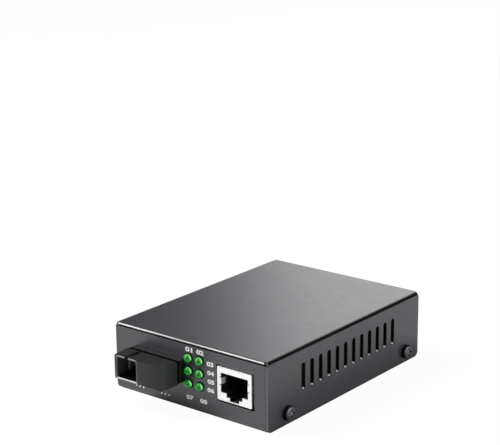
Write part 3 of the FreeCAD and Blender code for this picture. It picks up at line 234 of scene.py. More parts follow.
class Surface(Graph):
    """A material's node tree, with its object coordinates at hand."""

    def __init__(self, name: str) -> None:
        """Makes the material with its Principled shader.

        Args:
            name: The material's name.
        """
        self.material = bpy.data.materials.new(name)
        self.material.use_nodes = True
        super().__init__(self.material.node_tree)
        self.tree.nodes.clear()
        self.shader = self.add("ShaderNodeBsdfPrincipled")
        self.output = self.add("ShaderNodeOutputMaterial")
        self.feed(self.output.inputs["Surface"], self.shader.outputs[0])
        self.coordinates = self.add("ShaderNodeTexCoord")
        self.place = self.coordinates.outputs["Object"]
        self.axes = self.split(self.place)

    def split(self, vector: Socket) -> Sequence[Socket]:
        """Splits a vector into its three parts.

        Args:
            vector: The vector.

        Returns:
            Its X, Y and Z.
        """
        node = self.add("ShaderNodeSeparateXYZ")
        self.feed(node.inputs[0], vector)
        return node.outputs

    def normal(self) -> Sequence[Socket]:
        """The three parts of the surface's own normal."""
        return self.split(self.coordinates.outputs["Normal"])

    def toward(self, direction: Colour, edge: float, full: float) -> Socket:
        """A mask on the part of the surface that faces one way.

        Args:
            direction: The way it faces, as a unit vector.
            edge: Cosine at which the mask starts.
            full: Cosine from which the mask is 1.

        Returns:
            The mask, from 0 to 1.
        """
        node = self.add("ShaderNodeVectorMath", operation="DOT_PRODUCT")
        self.feed(node.inputs[0], self.coordinates.outputs["Normal"])
        self.feed(node.inputs[1], direction)
        return self.rise(node.outputs["Value"], edge, full)

    def noise(self, size: float, detail: float = 2.0, stretch: Optional[Colour] = None) -> Socket:
        """Noise on the object's own coordinates.

        Args:
            size: Rough size of its features, in metres.
            detail: How many finer layers it has.
            stretch: How much it is drawn out along each axis.

        Returns:
            The noise, from 0 to 1.
        """
        place = self.place
        if stretch is not None:
            mapping = self.add("ShaderNodeMapping", vector_type="TEXTURE")
            self.feed(mapping.inputs["Vector"], place)
            self.feed(mapping.inputs["Scale"], stretch)
            place = mapping.outputs[0]
        node = self.add("ShaderNodeTexNoise")
        self.feed(node.inputs["Vector"], place)
        self.feed(node.inputs["Scale"], 1.0 / size)
        self.feed(node.inputs["Detail"], detail)
        return node.outputs[0]

    def bump(self, height: Socket, depth: float) -> None:
        """Raises the surface by a height map.

        Args:
            height: The map, from 0 to 1.
            depth: Its full height, in metres.
        """
        node = self.add("ShaderNodeBump")
        self.feed(node.inputs["Distance"], depth)
        self.feed(node.inputs["Height"], height)
        self.set("Normal", node.outputs["Normal"])

    def set(self, name: str, value: Input) -> None:
        """Sets or joins one of the shader's inputs."""
        self.feed(self.shader.inputs[name], rgba(value) if "Color" in name else value)


# ---- Finishes ------------------------------------------------------------------------------------
@dataclass(frozen=True)
class Spot:
    """Part of a piece, by the way that its surface faces: from the edge of the spot to its full strength."""

    direction: Colour
    edge: float = 0.5
    full: float = 0.8

    def mask(self, surface: Surface) -> Socket:
        """The mask of the spot on a surface, from 0 to 1."""
        return surface.toward(self.direction, self.edge, self.full)


UPWARD = Spot((0.0, 0.0, 1.0))
FRONTWARD = Spot((0.0, -1.0, 0.0))
RIGHTWARD = Spot((1.0, 0.0, 0.0))


@dataclass(frozen=True)
class Finish:
    """What every finish has: a name, a colour with a second shade, and a range of roughness."""

    name: str
    colour: Colour
    shade: Colour
    roughness: Span
    patch: float = 3 * MM
    metallic: float = 0.0
    specular: float = 0.5

    def build(self) -> bpy.types.Material:
        """Makes the material.

        Returns:
            The finished material.
        """
        surface = Surface(self.name)
        patches = surface.noise(self.patch, 4.0)
        surface.set("Base Color", self.tint(surface, patches))
        surface.set("Roughness", self.gloss(surface, patches))
        surface.set("Specular IOR Level", self.shine(surface))
        if self.metallic:
            surface.set("Metallic", self.metallic)
        self.detail(surface)
        return surface.material

    def tint(self, surface: Surface, patches: Socket) -> Socket:
        """The colour over the surface.

        Args:
            surface: The material being made.
            patches: Soft noise for the change of shade.

        Returns:
            The colour.
        """
        return surface.mixed(surface.rise(patches, *NOISE_SPAN), self.colour, self.shade)

    def gloss(self, surface: Surface, patches: Socket) -> Socket:
        """The roughness over the surface.

        Args:
            surface: The material being made.
            patches: Soft noise for the change of roughness.

        Returns:
            The roughness.
        """
        return surface.remap(patches, *NOISE_SPAN, *self.roughness)

    def shine(self, surface: Surface) -> Input:
        """How much the surface reflects: one value, unless parts of it are sunk out of the light."""
        return self.specular

    def detail(self, surface: Surface) -> None:
        """Adds what a finish has beyond its colour and roughness."""


@dataclass(frozen=True, kw_only=True)
class PaintedSheet(Finish):
    """Fine textured paint on folded sheet steel, bare on the cut edges, with painted shade and painted
    highlights.

    end_y, wall_x and top_z say where the cover's ends, the inner faces of its walls and its top are.
    cut_edge and lip are measured down from the top, and end_depth and corner in from the ends.
    """

    end_y: float
    wall_x: float
    top_z: float
    sheet: float = SHEET
    grain: float = 0.45 * MM
    grain_depth: float = 0.006 * MM
    grain_span: Span = (0.25, 0.5)
    grain_least: float = 0.9
    steel: Colour = (0.99, 0.99, 0.99)
    # the dark colour of the painted shade in the folds, under the lid's ends, in and round the slots and along
    # the lower edge
    painted_shade: Colour = (0.013, 0.013, 0.014)
    # the lighter colour of the wear and the painted highlight on the upright edges of the walls
    highlit_wear: Colour = (0.075, 0.074, 0.080)
    highlit_wear_share: Span = (0.25, 0.6)
    end_depth: Span = (0.30 * MM, 0.22 * MM)
    cut_edge: Span = (0.74 * MM, 0.24 * MM)
    # lip: heights, down from the top, of the painted shade at the foot of the lid's cut edges, over the gap
    lip: Span = (0.94 * MM, 0.89 * MM)
    # fold_side and fold_up: how far the normal leans to the side and up where shade is painted on the folds
    fold_side: Span = (0.35, 0.65)
    fold_up: Span = (0.12, 0.4)
    # foot: heights over which the painted contact shadow along the lower edge fades out
    foot: Span = (0.75 * MM, 0.90 * MM)
    vents: int = 12
    vent_pitch: float = 5.08 * MM
    vent_shift: float = 1.0 * MM
    vent_drop: float = 10.95 * MM
    vent_half: Span = (1.1 * MM, 5.05 * MM)
    vents_under: Span = (21 * MM, 22 * MM)
    # soft border of the painted shade round the slots
    slot_shade_border: float = 0.06 * MM
    slot_across: Span = (0.2, 0.5)
    slot_depth: float = 0.95
    # the part of the slots' low ends that faces up and to the front, towards the lamps: only there is the steel
    # bare, a painted glint
    low_end: Spot = Spot((0.0, -0.5, 0.866), 0.84, 0.93)

    @property
    def edge_z(self) -> Span:
        """Heights between which the lid's cut edges are bare."""
        return self.top_z - self.cut_edge[0], self.top_z - self.cut_edge[1]

    def tint(self, surface: Surface, patches: Socket) -> Socket:
        """Paint with its painted shade, its wear with a painted highlight, and the bare steel mixed in.

        Args:
            surface: The material being made.
            patches: Soft noise for the change of shade.

        Returns:
            The colour.
        """
        painted_shade_mask, bare = self.painted_shade_mask(surface), self.bare(surface)
        paint = surface.mixed(self.highlit_wear_mask(surface), super().tint(surface, patches), self.highlit_wear)
        paint = surface.mixed(surface.either(painted_shade_mask, self.rim(surface), self.low(surface)), paint, self.painted_shade)
        # Bare steel is metallic; the painted shade is made metallic too, so its dark colour also darkens its
        # reflection.
        surface.set("Metallic", surface.either(bare, painted_shade_mask))
        return surface.mixed(bare, paint, self.steel)

    def gloss(self, surface: Surface, patches: Socket) -> Socket:
        """Satin paint, dull where shade is painted and on the lid's rim."""
        return surface.either(super().gloss(surface, patches), self.painted_shade_mask(surface), self.rim(surface))

    def low(self, surface: Surface) -> Socket:
        """The lower edge, next to what the case stands on, where a painted contact shadow goes."""
        return surface.fall(surface.axes[2], *self.foot)

    def slot_shade(self, surface: Surface) -> Socket:
        """A band of painted shade round the edges of the vent slots, rounded at the ends as the slots are.

        Args:
            surface: The material being made.

        Returns:
            The mask, from 0 to 1.
        """
        half_width, half_height = self.vent_half
        along = surface.maths("SUBTRACT", surface.axes[1], self.vent_shift)
        cell = surface.maths("FRACT", surface.maths("DIVIDE", along, self.vent_pitch))
        beside = surface.maths("MULTIPLY", surface.apart(cell, 0.5), self.vent_pitch)
        height = surface.apart(surface.axes[2], self.top_z - self.vent_drop)
        past = surface.either(surface.maths("SUBTRACT", height, half_height - half_width), 0.0)
        squares = surface.maths("ADD", surface.both(beside, beside), surface.both(past, past))
        row_end = self.vents * self.vent_pitch / 2
        return surface.both(
            surface.fall(surface.maths("SQRT", squares), half_width, half_width + self.slot_shade_border),
            surface.fall(surface.size(along), row_end, row_end + self.slot_shade_border),
            surface.rise(surface.size(surface.normal()[0]), *SQUARE_ON))

    def at_end(self, surface: Surface) -> Socket:
        """The cover's two ends, within the sheet's own thickness of them."""
        start, full = self.end_depth
        return surface.rise(surface.size(surface.axes[1]), self.end_y - start, self.end_y - full)

    def in_slot(self, surface: Surface) -> Socket:
        """The vent slots' walls, which face across X inside the side walls.

        Args:
            surface: The material being made.

        Returns:
            The mask, from 0 to 1.
        """
        across = surface.fall(surface.size(surface.normal()[0]), *self.slot_across)
        inside = surface.between(surface.size(surface.axes[0]), self.wall_x,
                                 self.wall_x + self.slot_depth * self.sheet, BORDER)
        low = surface.fall(surface.axes[2], *self.vents_under)
        return surface.both(across, inside, low, surface.inverse(self.at_end(surface)))

    def painted_shade_mask(self, surface: Surface) -> Socket:
        """Where shade is painted: the folds, under the lid's ends, and round and in the slots.

        Args:
            surface: The material being made.

        Returns:
            The mask, from 0 to 1.
        """
        side, _, up = surface.normal()
        fold = surface.both(surface.rise(surface.size(side), *self.fold_side), surface.rise(up, *self.fold_up))
        edge = self.edge_z[0]
        under = surface.fall(surface.axes[2], edge - 0.03 * MM, edge)
        lid = surface.rise(surface.axes[2], self.top_z - self.lip[0], self.top_z - self.lip[1])
        middle = surface.fall(surface.size(surface.axes[0]), self.wall_x - 0.1 * MM, self.wall_x)
        lip = surface.both(self.at_end(surface), under, lid, middle)
        return surface.either(fold, lip, self.slot_shade(surface), self.in_slot(surface))

    def rim(self, surface: Surface) -> Input:
        """The rounded rim of the lid above its cut edge, where the paint is dull and shade is painted."""
        edge = self.edge_z[1]
        return surface.both(self.at_end(surface), surface.rise(surface.axes[2], edge, edge + 0.06 * MM))

    def highlit_wear_mask(self, surface: Surface) -> Socket:
        """Where the paint shows wear and a highlight is painted: the upright front and rear edges of the side
        walls.
        """
        span = (self.wall_x + share * self.sheet for share in self.highlit_wear_share)
        return surface.both(surface.rise(surface.size(surface.axes[0]), *span), self.at_end(surface))

    def bare(self, surface: Surface) -> Socket:
        """Where the steel is bare: the lid's cut edges, and the low ends of the slots only where they face the
        lamps, which places a painted glint there.

        Args:
            surface: The material being made.

        Returns:
            The mask, from 0 to 1.
        """
        lid = surface.both(self.at_end(surface), surface.between(surface.axes[2], *self.edge_z, BORDER),
                           surface.rise(self.facing(surface), *SQUARE_ON))
        grain = surface.remap(surface.noise(self.grain, 1.0), *self.grain_span, self.grain_least, 1.0)
        low_end = surface.both(self.in_slot(surface), self.low_end.mask(surface))
        return surface.both(surface.either(lid, low_end), grain)

    def facing(self, surface: Surface) -> Socket:
        """How much the surface faces along Y."""
        return surface.size(surface.normal()[1])

    def detail(self, surface: Surface) -> None:
        """Fine grain of the paint."""
        surface.bump(surface.noise(self.grain, 3.0), self.grain_depth)


@dataclass(frozen=True, kw_only=True)
class PaintedTray(PaintedSheet):
    """The same paint on the tray, whose openings were cut after it was painted.

    middle and half are the middle and half size, across and up, of the twisted-pair socket's opening.
    """

    middle: Span
    half: Span
    corner: float = 0.25 * MM
    # width and soft border of the ring of wear and painted highlight round the socket's opening
    highlit_ring: float = 0.3 * MM
    highlit_ring_border: float = 0.05 * MM
    front_depth: Span = (0.2 * MM, 0.1 * MM)
    wall_span: Span = (0.3, 0.6)
    openings: Span = (3 * MM, 23 * MM)
    # lip: heights, down from the top, of the painted shade on the panels' upper edges
    lip: Span = (1.57 * MM, 1.42 * MM)
    # foot: heights over which the painted contact shadow along the tray's lower edge fades out
    foot: Span = (1.1 * MM, 1.3 * MM)

    def painted_shade_mask(self, surface: Surface) -> Socket:
        """The panels' upper edges, under the lid, where shade is painted."""
        return surface.rise(surface.axes[2], self.top_z - self.lip[0], self.top_z - self.lip[1])

    def rim(self, surface: Surface) -> Input:
        """The tray has no such rim."""
        return 0.0

    def highlit_wear_mask(self, surface: Surface) -> Socket:
        """A narrow ring of paint with wear and a painted highlight round the twisted-pair socket's opening.

        Args:
            surface: The material being made.

        Returns:
            The mask, from 0 to 1.
        """
        ring = surface.either(*(surface.maths("SUBTRACT", surface.apart(surface.axes[axis], middle), half)
                                for axis, middle, half in zip((0, 2), self.middle, self.half)))
        front = surface.rise(surface.axes[1], *(depth - self.end_y for depth in self.front_depth))
        return surface.both(front, surface.between(ring, 0.0, self.highlit_ring, self.highlit_ring_border))

    def bare(self, surface: Surface) -> Socket:
        """The outer corners of the panels' openings, on walls that face across Y.

        Args:
            surface: The material being made.

        Returns:
            The mask, from 0 to 1.
        """
        corner = surface.rise(surface.size(surface.axes[1]), self.end_y - self.corner,
                              self.end_y - 0.8 * self.corner)
        height = surface.between(surface.axes[2], *self.openings, BORDER)
        return surface.both(corner, height, surface.fall(self.facing(surface), *self.wall_span))


@dataclass(frozen=True)
class MouldedPlastic(Finish):
    """Moulded plastic with the fine spark texture of its tool."""

    spark: float = 0.25 * MM
    spark_depth: float = 0.004 * MM

    def detail(self, surface: Surface) -> None:
        """Spark texture."""
        surface.bump(surface.noise(self.spark, 2.0), self.spark_depth)


@dataclass(frozen=True, kw_only=True)
class NosePlastic(MouldedPlastic):
    """The transceiver's plastic, with painted light and shade: highlights on the port's rims, shade in the groove
    and on the collar, and a tone for each face by how the light falls on it.

    tip is where the nose ends along Y; the grooves, the collar and the depths are measured back from it.
    """

    tip: float
    specular: float = 0.25
    # rim and low_rim: painted highlights on the port's rims, the lower rims brightest
    rim: Colour = (0.17, 0.17, 0.175)
    rim_depth: float = 0.28 * MM
    low_rim: Colour = (0.60, 0.60, 0.61)
    low_rim_z: float = 10.9 * MM
    groove: Span = (8.1 * MM, 9.15 * MM)
    groove_above: Span = (7.65 * MM, 9.15 * MM)
    groove_border: float = 0.03 * MM
    # collar, collar_dark and merging: where the collar begins, how deep its painted shade is, and how far its top
    # is shaded into the panel's tone
    collar: float = 9.0 * MM
    collar_dark: float = 0.6
    merging: float = 2 * MM
    # dark: the colour of the painted shade on the collar and in the groove
    dark: Colour = (0.001, 0.001, 0.001)
    # top, side, side_front and front: painted tones of light and shade for each face, side_front towards the tip
    top: Colour = (0.002, 0.0025, 0.0025)
    side: Colour = (0.041, 0.042, 0.041)
    side_front: Colour = (0.066, 0.067, 0.066)
    side_depth: float = 5 * MM
    # collar_top: painted shade on the collar's top
    collar_top: Colour = (0.022, 0.022, 0.024)
    front: Colour = (0.038, 0.039, 0.040)
    front_x: Span = (-17 * MM, -3 * MM)

    def tint(self, surface: Surface, patches: Socket) -> Socket:
        """Plastic painted by how the light falls: darker on top, lighter on the left of the front, on the right
        side and most towards the tip, with painted shade on the collar and in the groove and painted highlights
        on the port's rims.

        Args:
            surface: The material being made.
            patches: Soft noise for the change of shade.

        Returns:
            The colour.
        """
        across, _, height = surface.axes
        depth, above = self.depth(surface), UPWARD.mask(surface)
        collar = self.collar
        front = surface.both(FRONTWARD.mask(surface), surface.fall(across, *self.front_x))
        beside = surface.mixed(surface.fall(depth, 0.0, self.side_depth), self.side, self.side_front)
        merging = surface.both(above, surface.rise(depth, collar, collar + self.merging))
        low = surface.fall(height, self.low_rim_z - 0.05 * MM, self.low_rim_z)
        # Layers of painted light and shade, each over the last: the front, the top, the right side, the collar,
        # its top, the groove and the rims.
        layers = ((front, self.front),
                  (above, self.top),
                  (RIGHTWARD.mask(surface), beside),
                  (surface.remap(depth, collar - BORDER, collar, 0.0, self.collar_dark), self.dark),
                  (merging, self.collar_top),
                  (self.in_groove(surface), self.dark),
                  (surface.fall(depth, self.rim_depth - BORDER, self.rim_depth),
                   surface.mixed(low, self.rim, self.low_rim)))
        plastic = super().tint(surface, patches)
        for mask, colour in layers:
            plastic = surface.mixed(mask, plastic, colour)
        return plastic

    def shine(self, surface: Surface) -> Input:
        """Even, but none in the groove."""
        return surface.remap(self.in_groove(surface), 0.0, 1.0, self.specular, 0.0)

    def depth(self, surface: Surface) -> Socket:
        """How far back from the nose's tip the surface is."""
        return surface.maths("SUBTRACT", surface.axes[1], self.tip)

    def in_groove(self, surface: Surface) -> Socket:
        """The groove between the nose and its collar, where shade is painted, broader where its upper edges are
        rounded.

        Args:
            surface: The material being made.

        Returns:
            The mask, from 0 to 1.
        """
        depth = self.depth(surface)
        beside = surface.between(depth, *self.groove, self.groove_border)
        above = surface.between(depth, *self.groove_above, self.groove_border)
        return surface.either(beside, surface.both(UPWARD.mask(surface), above))


@dataclass(frozen=True)
class DrawnMetal(Finish):
    """Plated or bare metal with fine rolling lines along one axis."""

    metallic: float = 1.0
    line: float = 0.12 * MM
    line_depth: float = 0.002 * MM
    along: Colour = (1.0, 12.0, 1.0)

    def detail(self, surface: Surface) -> None:
        """Rolling lines."""
        surface.bump(surface.noise(self.line, 2.0, self.along), self.line_depth)


@dataclass(frozen=True, kw_only=True)
class BlackedScrew(DrawnMetal):
    """Blackened steel, scuffed grey on the faces of the heads, with painted shade on their flanks and a painted
    highlight on the walls of the cross recesses.

    middle is the middle of all the screws, and spacing is half the way from one to the next along Y.
    """

    middle: Colour
    spacing: float
    # flank: painted shade on the heads' flanks
    flank: Colour = (0.012, 0.012, 0.013)
    flank_span: Span = (0.6, 0.8)
    # recess: a painted highlight on the recess walls that face the ways given in lit
    recess: Colour = (0.95, 0.95, 0.95)
    recess_half: float = 1.1 * MM
    recess_border: float = 0.1 * MM
    lit: tuple[Spot, ...] = (Spot(UPWARD.direction, 0.5, 0.7), Spot(FRONTWARD.direction, 0.5, 0.7))

    def tint(self, surface: Surface, patches: Socket) -> Socket:
        """Grey faces, painted shade on the flanks, and a painted highlight on the walls of the recesses where
        they face the light.

        Args:
            surface: The material being made.
            patches: Soft noise for the change of shade.

        Returns:
            The colour.
        """
        flank = surface.fall(surface.size(surface.normal()[0]), *self.flank_span)
        beside = surface.apart(surface.apart(surface.axes[1], self.middle[1]), self.spacing)
        above = surface.apart(surface.axes[2], self.middle[2])
        inside = surface.fall(surface.either(beside, above), self.recess_half,
                              self.recess_half + self.recess_border)
        lit = surface.either(*(spot.mask(surface) for spot in self.lit))
        dark = surface.mixed(flank, super().tint(surface, patches), self.flank)
        return surface.mixed(surface.both(inside, lit), dark, self.recess)


@dataclass(frozen=True)
class LampLens(Finish):
    """Tinted epoxy of a lit indicator lamp, with painted light and shade on its dome."""

    # Painted on the dome by the way it faces: a dark core of painted shade, a painted pale patch on the lower
    # left and a painted bright crescent on the right; glow is the lamp's own green light
    core: Colour = (0.001, 0.010, 0.002)
    core_spot: Spot = Spot((0.447, -0.877, 0.171), 0.935, 0.98)
    pale_patch: Colour = (0.075, 0.150, 0.085)
    pale_patch_spot: Spot = Spot((-0.10, -0.92, -0.38), 0.82, 0.96)
    glow: Colour = (0.0, 0.11, 0.003)
    gleam: Colour = (0.20, 0.80, 0.20)
    gleam_spot: Spot = Spot((0.675, 0.661, 0.329), 0.26, 0.42)
    # flank_span: how far the normal leans back where the dark ring of painted shade goes
    flank_span: Span = (-0.2, -0.1)

    def tint(self, surface: Surface, patches: Socket) -> Socket:
        """Green with a painted pale patch below, and painted shade in a dark core and a dark ring.

        Args:
            surface: The material being made.
            patches: Soft noise for the change of shade.

        Returns:
            The colour.
        """
        green = surface.mixed(self.pale_patch_spot.mask(surface), super().tint(surface, patches), self.pale_patch)
        green = surface.mixed(self.core_spot.mask(surface), green, self.core)
        return surface.mixed(self.in_ring(surface), green, self.core)

    def detail(self, surface: Surface) -> None:
        """The lamp's green glow, with a painted bright crescent along the dome's right side and a dark core
        painted for the image of the chip.

        Args:
            surface: The material being made.
        """
        light = surface.mixed(self.core_spot.mask(surface), self.glow, self.core)
        light = surface.mixed(self.gleam_spot.mask(surface), light, self.gleam)
        surface.set("Emission Color", surface.mixed(self.in_ring(surface), light, self.core))
        surface.set("Emission Strength", 1.0)

    def in_ring(self, surface: Surface) -> Socket:
        """The lens's straight flank and the edge of its dome, where a dark ring of painted shade goes."""
        return surface.rise(surface.normal()[1], *self.flank_span)


@dataclass(frozen=True)
class SolderMask(Finish):
    """Green board with its copper tracks showing under the mask."""

    track: Colour = (0.03, 0.19, 0.07)
    track_pitch: float = 1.3 * MM
    track_span: Span = (0.1, 0.14)
    edge: Colour = (0.045, 0.042, 0.018)
    edge_span: Span = (0.4, 0.6)

    def tint(self, surface: Surface, patches: Socket) -> Socket:
        """Mask with lighter tracks, and the bare laminate on the board's edges.

        Args:
            surface: The material being made.
            patches: Soft noise for the change of shade.

        Returns:
            The colour.
        """
        cells = surface.add("ShaderNodeTexVoronoi", feature="DISTANCE_TO_EDGE", distance="MANHATTAN")
        surface.feed(cells.inputs["Vector"], surface.place)
        surface.feed(cells.inputs["Scale"], 1.0 / self.track_pitch)
        track = surface.fall(cells.outputs["Distance"], *self.track_span)
        masked = surface.mixed(track, super().tint(surface, patches), self.track)
        return surface.mixed(surface.rise(surface.size(surface.normal()[2]), *self.edge_span), self.edge, masked)


@dataclass(frozen=True)
class Winding(Finish):
    """Enamelled wire wound round a core."""

    metallic: float = 1.0
    wire: float = 0.3 * MM
    turn_depth: float = 0.05 * MM

    def detail(self, surface: Surface) -> None:
        """Turns of the wire.

        Args:
            surface: The material being made.
        """
        wave = surface.add("ShaderNodeTexWave", bands_direction="Z")
        surface.feed(wave.inputs["Vector"], surface.place)
        surface.feed(wave.inputs["Scale"], 1.0 / (self.wire * math.tau))
        surface.bump(wave.outputs["Fac"], self.turn_depth)


class Slot(Enum):
    """The record's material slots."""

    COVER = "cover_paint"
    TRAY = "tray_paint"
    SCREW = "black_screw_steel"
    BRIGHT = "bright_steel"
    BOARD = "board_laminate"
    NOSE = "dark_moulded_plastic"
    BLACK = "black_moulded_plastic"
    GREY = "grey_moulded_plastic"
    CERAMIC = "white_ceramic"
    SHIELD = "tinned_shield"
    GILT = "gilt_contacts"
    TINNED = "tinned_metal"
    LENS = "green_lens"
    RESIN = "chip_resin"
    TAN = "tan_ceramic"
    CAN = "can_aluminium"
    FERRITE = "grey_ferrite"
    COPPER = "copper_wire"


def socket_opening() -> tuple[Span, Span]:
    """Finds the panel's opening round the twisted-pair socket.

    Returns:
        Its middle and its half size, across and up.
    """
    low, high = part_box("jack_shield")
    gap_beside, gap_above, drop = 0.85 * MM, 0.45 * MM, 0.9 * MM
    left, right = low.x - gap_beside, high.x + gap_beside
    bottom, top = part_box("circuit_board")[1].z - drop, high.z + gap_above
    return ((left + right) / 2, (bottom + top) / 2), ((right - left) / 2, (top - bottom) / 2)


def paints() -> dict[Slot, Finish]:
    """The paint of the cover and of the tray, which keep to the cover's walls and the socket's opening.

    Returns:
        The finish of each of the two slots.
    """
    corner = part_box("top_cover")[1]
    middle, half = socket_opening()
    case = {"end_y": corner.y, "wall_x": corner.x - SHEET, "top_z": corner.z, "patch": 4 * MM, "specular": 1.0}
    paint, shade, roughness = (0.0410, 0.0400, 0.0500), (0.0360, 0.0350, 0.0440), (0.30, 0.34)
    return {Slot.COVER: PaintedSheet("satin_cover_paint", paint, shade, roughness, **case),
            Slot.TRAY: PaintedTray("satin_tray_paint", paint, shade, roughness, middle=middle, half=half, **case)}


def finishes() -> dict[Slot, Finish]:
    """Chooses the finish of each slot.

    Returns:
        The finishes, by slot.
    """
    low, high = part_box("cover_screws")
    head_radius = (high.z - low.z) / 2
    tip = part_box("transceiver_housing")[0].y
    return {
        **paints(),
        Slot.SCREW: BlackedScrew("blackened_screw", (0.17, 0.17, 0.18), (0.11, 0.11, 0.12), (0.40, 0.50),
                                 middle=tuple((low + high) / 2), spacing=(high.y - low.y) / 2 - head_radius),
        Slot.BRIGHT: DrawnMetal("nickel_plate", (0.62, 0.60, 0.56), (0.55, 0.53, 0.50), (0.22, 0.32)),
        Slot.BOARD: SolderMask("green_board", (0.010, 0.085, 0.03), (0.008, 0.07, 0.025), (0.28, 0.36)),
        Slot.NOSE: NosePlastic("dark_plastic", (0.013, 0.015, 0.014), (0.010, 0.012, 0.011), (0.36, 0.42),
                               tip=tip),
        Slot.BLACK: MouldedPlastic("black_plastic", (0.012, 0.012, 0.012), (0.009, 0.009, 0.009), (0.4, 0.5)),
        Slot.GREY: MouldedPlastic("grey_plastic", (0.16, 0.16, 0.16), (0.13, 0.13, 0.13), (0.4, 0.5)),
        Slot.CERAMIC: MouldedPlastic("white_zirconia", (0.78, 0.77, 0.74), (0.74, 0.73, 0.70), (0.15, 0.2)),
        Slot.SHIELD: DrawnMetal("tin_plate", (0.99, 0.99, 0.99), (0.96, 0.96, 0.96), (0.42, 0.5)),
        Slot.GILT: DrawnMetal("gold_plate", (0.85, 0.60, 0.25), (0.80, 0.55, 0.22), (0.2, 0.26)),
        Slot.TINNED: DrawnMetal("tinned_leads", (0.72, 0.72, 0.70), (0.64, 0.64, 0.62), (0.25, 0.35)),
        Slot.LENS: LampLens("green_epoxy", (0.008, 0.26, 0.015), (0.006, 0.22, 0.012), (0.03, 0.05)),
        Slot.RESIN: MouldedPlastic("moulded_resin", (0.022, 0.022, 0.024), (0.017, 0.017, 0.018), (0.45, 0.6)),
        Slot.TAN: MouldedPlastic("fired_ceramic", (0.36, 0.24, 0.13), (0.31, 0.20, 0.10), (0.4, 0.5)),
        Slot.CAN: DrawnMetal("drawn_aluminium", (0.75, 0.75, 0.76), (0.68, 0.68, 0.69), (0.28, 0.36)),
        Slot.FERRITE: MouldedPlastic("sintered_ferrite", (0.07, 0.07, 0.075), (0.05, 0.05, 0.055), (0.6, 0.7)),
        Slot.COPPER: Winding("enamelled_copper", (0.75, 0.30, 0.14), (0.66, 0.25, 0.11), (0.25, 0.32)),
    }


class Palette:
    """The materials, each made once."""

    def __init__(self, table: dict[Slot, Finish]) -> None:
        """Makes a material for each slot.

        Args:
            table: The finish of each slot.
        """
        self.materials = {slot: finish.build() for slot, finish in table.items()}

    def dress(self, *nodes: str) -> None:
        """Gives frame nodes the finish of their own slot.

        Args:
            nodes: Names of the frame's nodes.
        """
        for name in nodes:
            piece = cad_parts[name]
            for slot in piece.material_slots:
                slot.material = self.materials[Slot(slot.material.name.split(".")[0])]
            log.info("dressed %s", name)


# ---- Added pieces --------------------------------------------------------------------------------
def plain_mesh(source: bpy.types.Object) -> bpy.types.Mesh:
    """Turns an object with text or modifiers into a plain mesh and removes the object.

    Args:
        source: The object, not yet in the scene.

    Returns:
        Its evaluated mesh.
    """
    bpy.context.scene.collection.objects.link(source)
    evaluated = source.evaluated_get(bpy.context.evaluated_depsgraph_get())
    mesh = bpy.data.meshes.new_from_object(evaluated)
    bpy.data.objects.remove(source)
    return mesh


def add_piece(name: str, shape: bmesh.types.BMesh, material: bpy.types.Material) -> None:
    """Closes a shape's seams, turns its faces outwards and puts it in the scene.

    Args:
        name: The piece's name.
        shape: Its shape, in the row's own axes; it is freed.
        material: Its material.
    """
    bmesh.ops.remove_doubles(shape, verts=shape.verts, dist=SEAM)
    bmesh.ops.recalc_face_normals(shape, faces=shape.faces)
    mesh = bpy.data.meshes.new(name)
    shape.to_mesh(mesh)
    shape.free()
    mesh.materials.append(material)
    piece = bpy.data.objects.new(name, mesh)
    bpy.context.scene.collection.objects.link(piece)
    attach(piece, "root")
    log.info("added %s with %d faces", name, len(mesh.polygons))


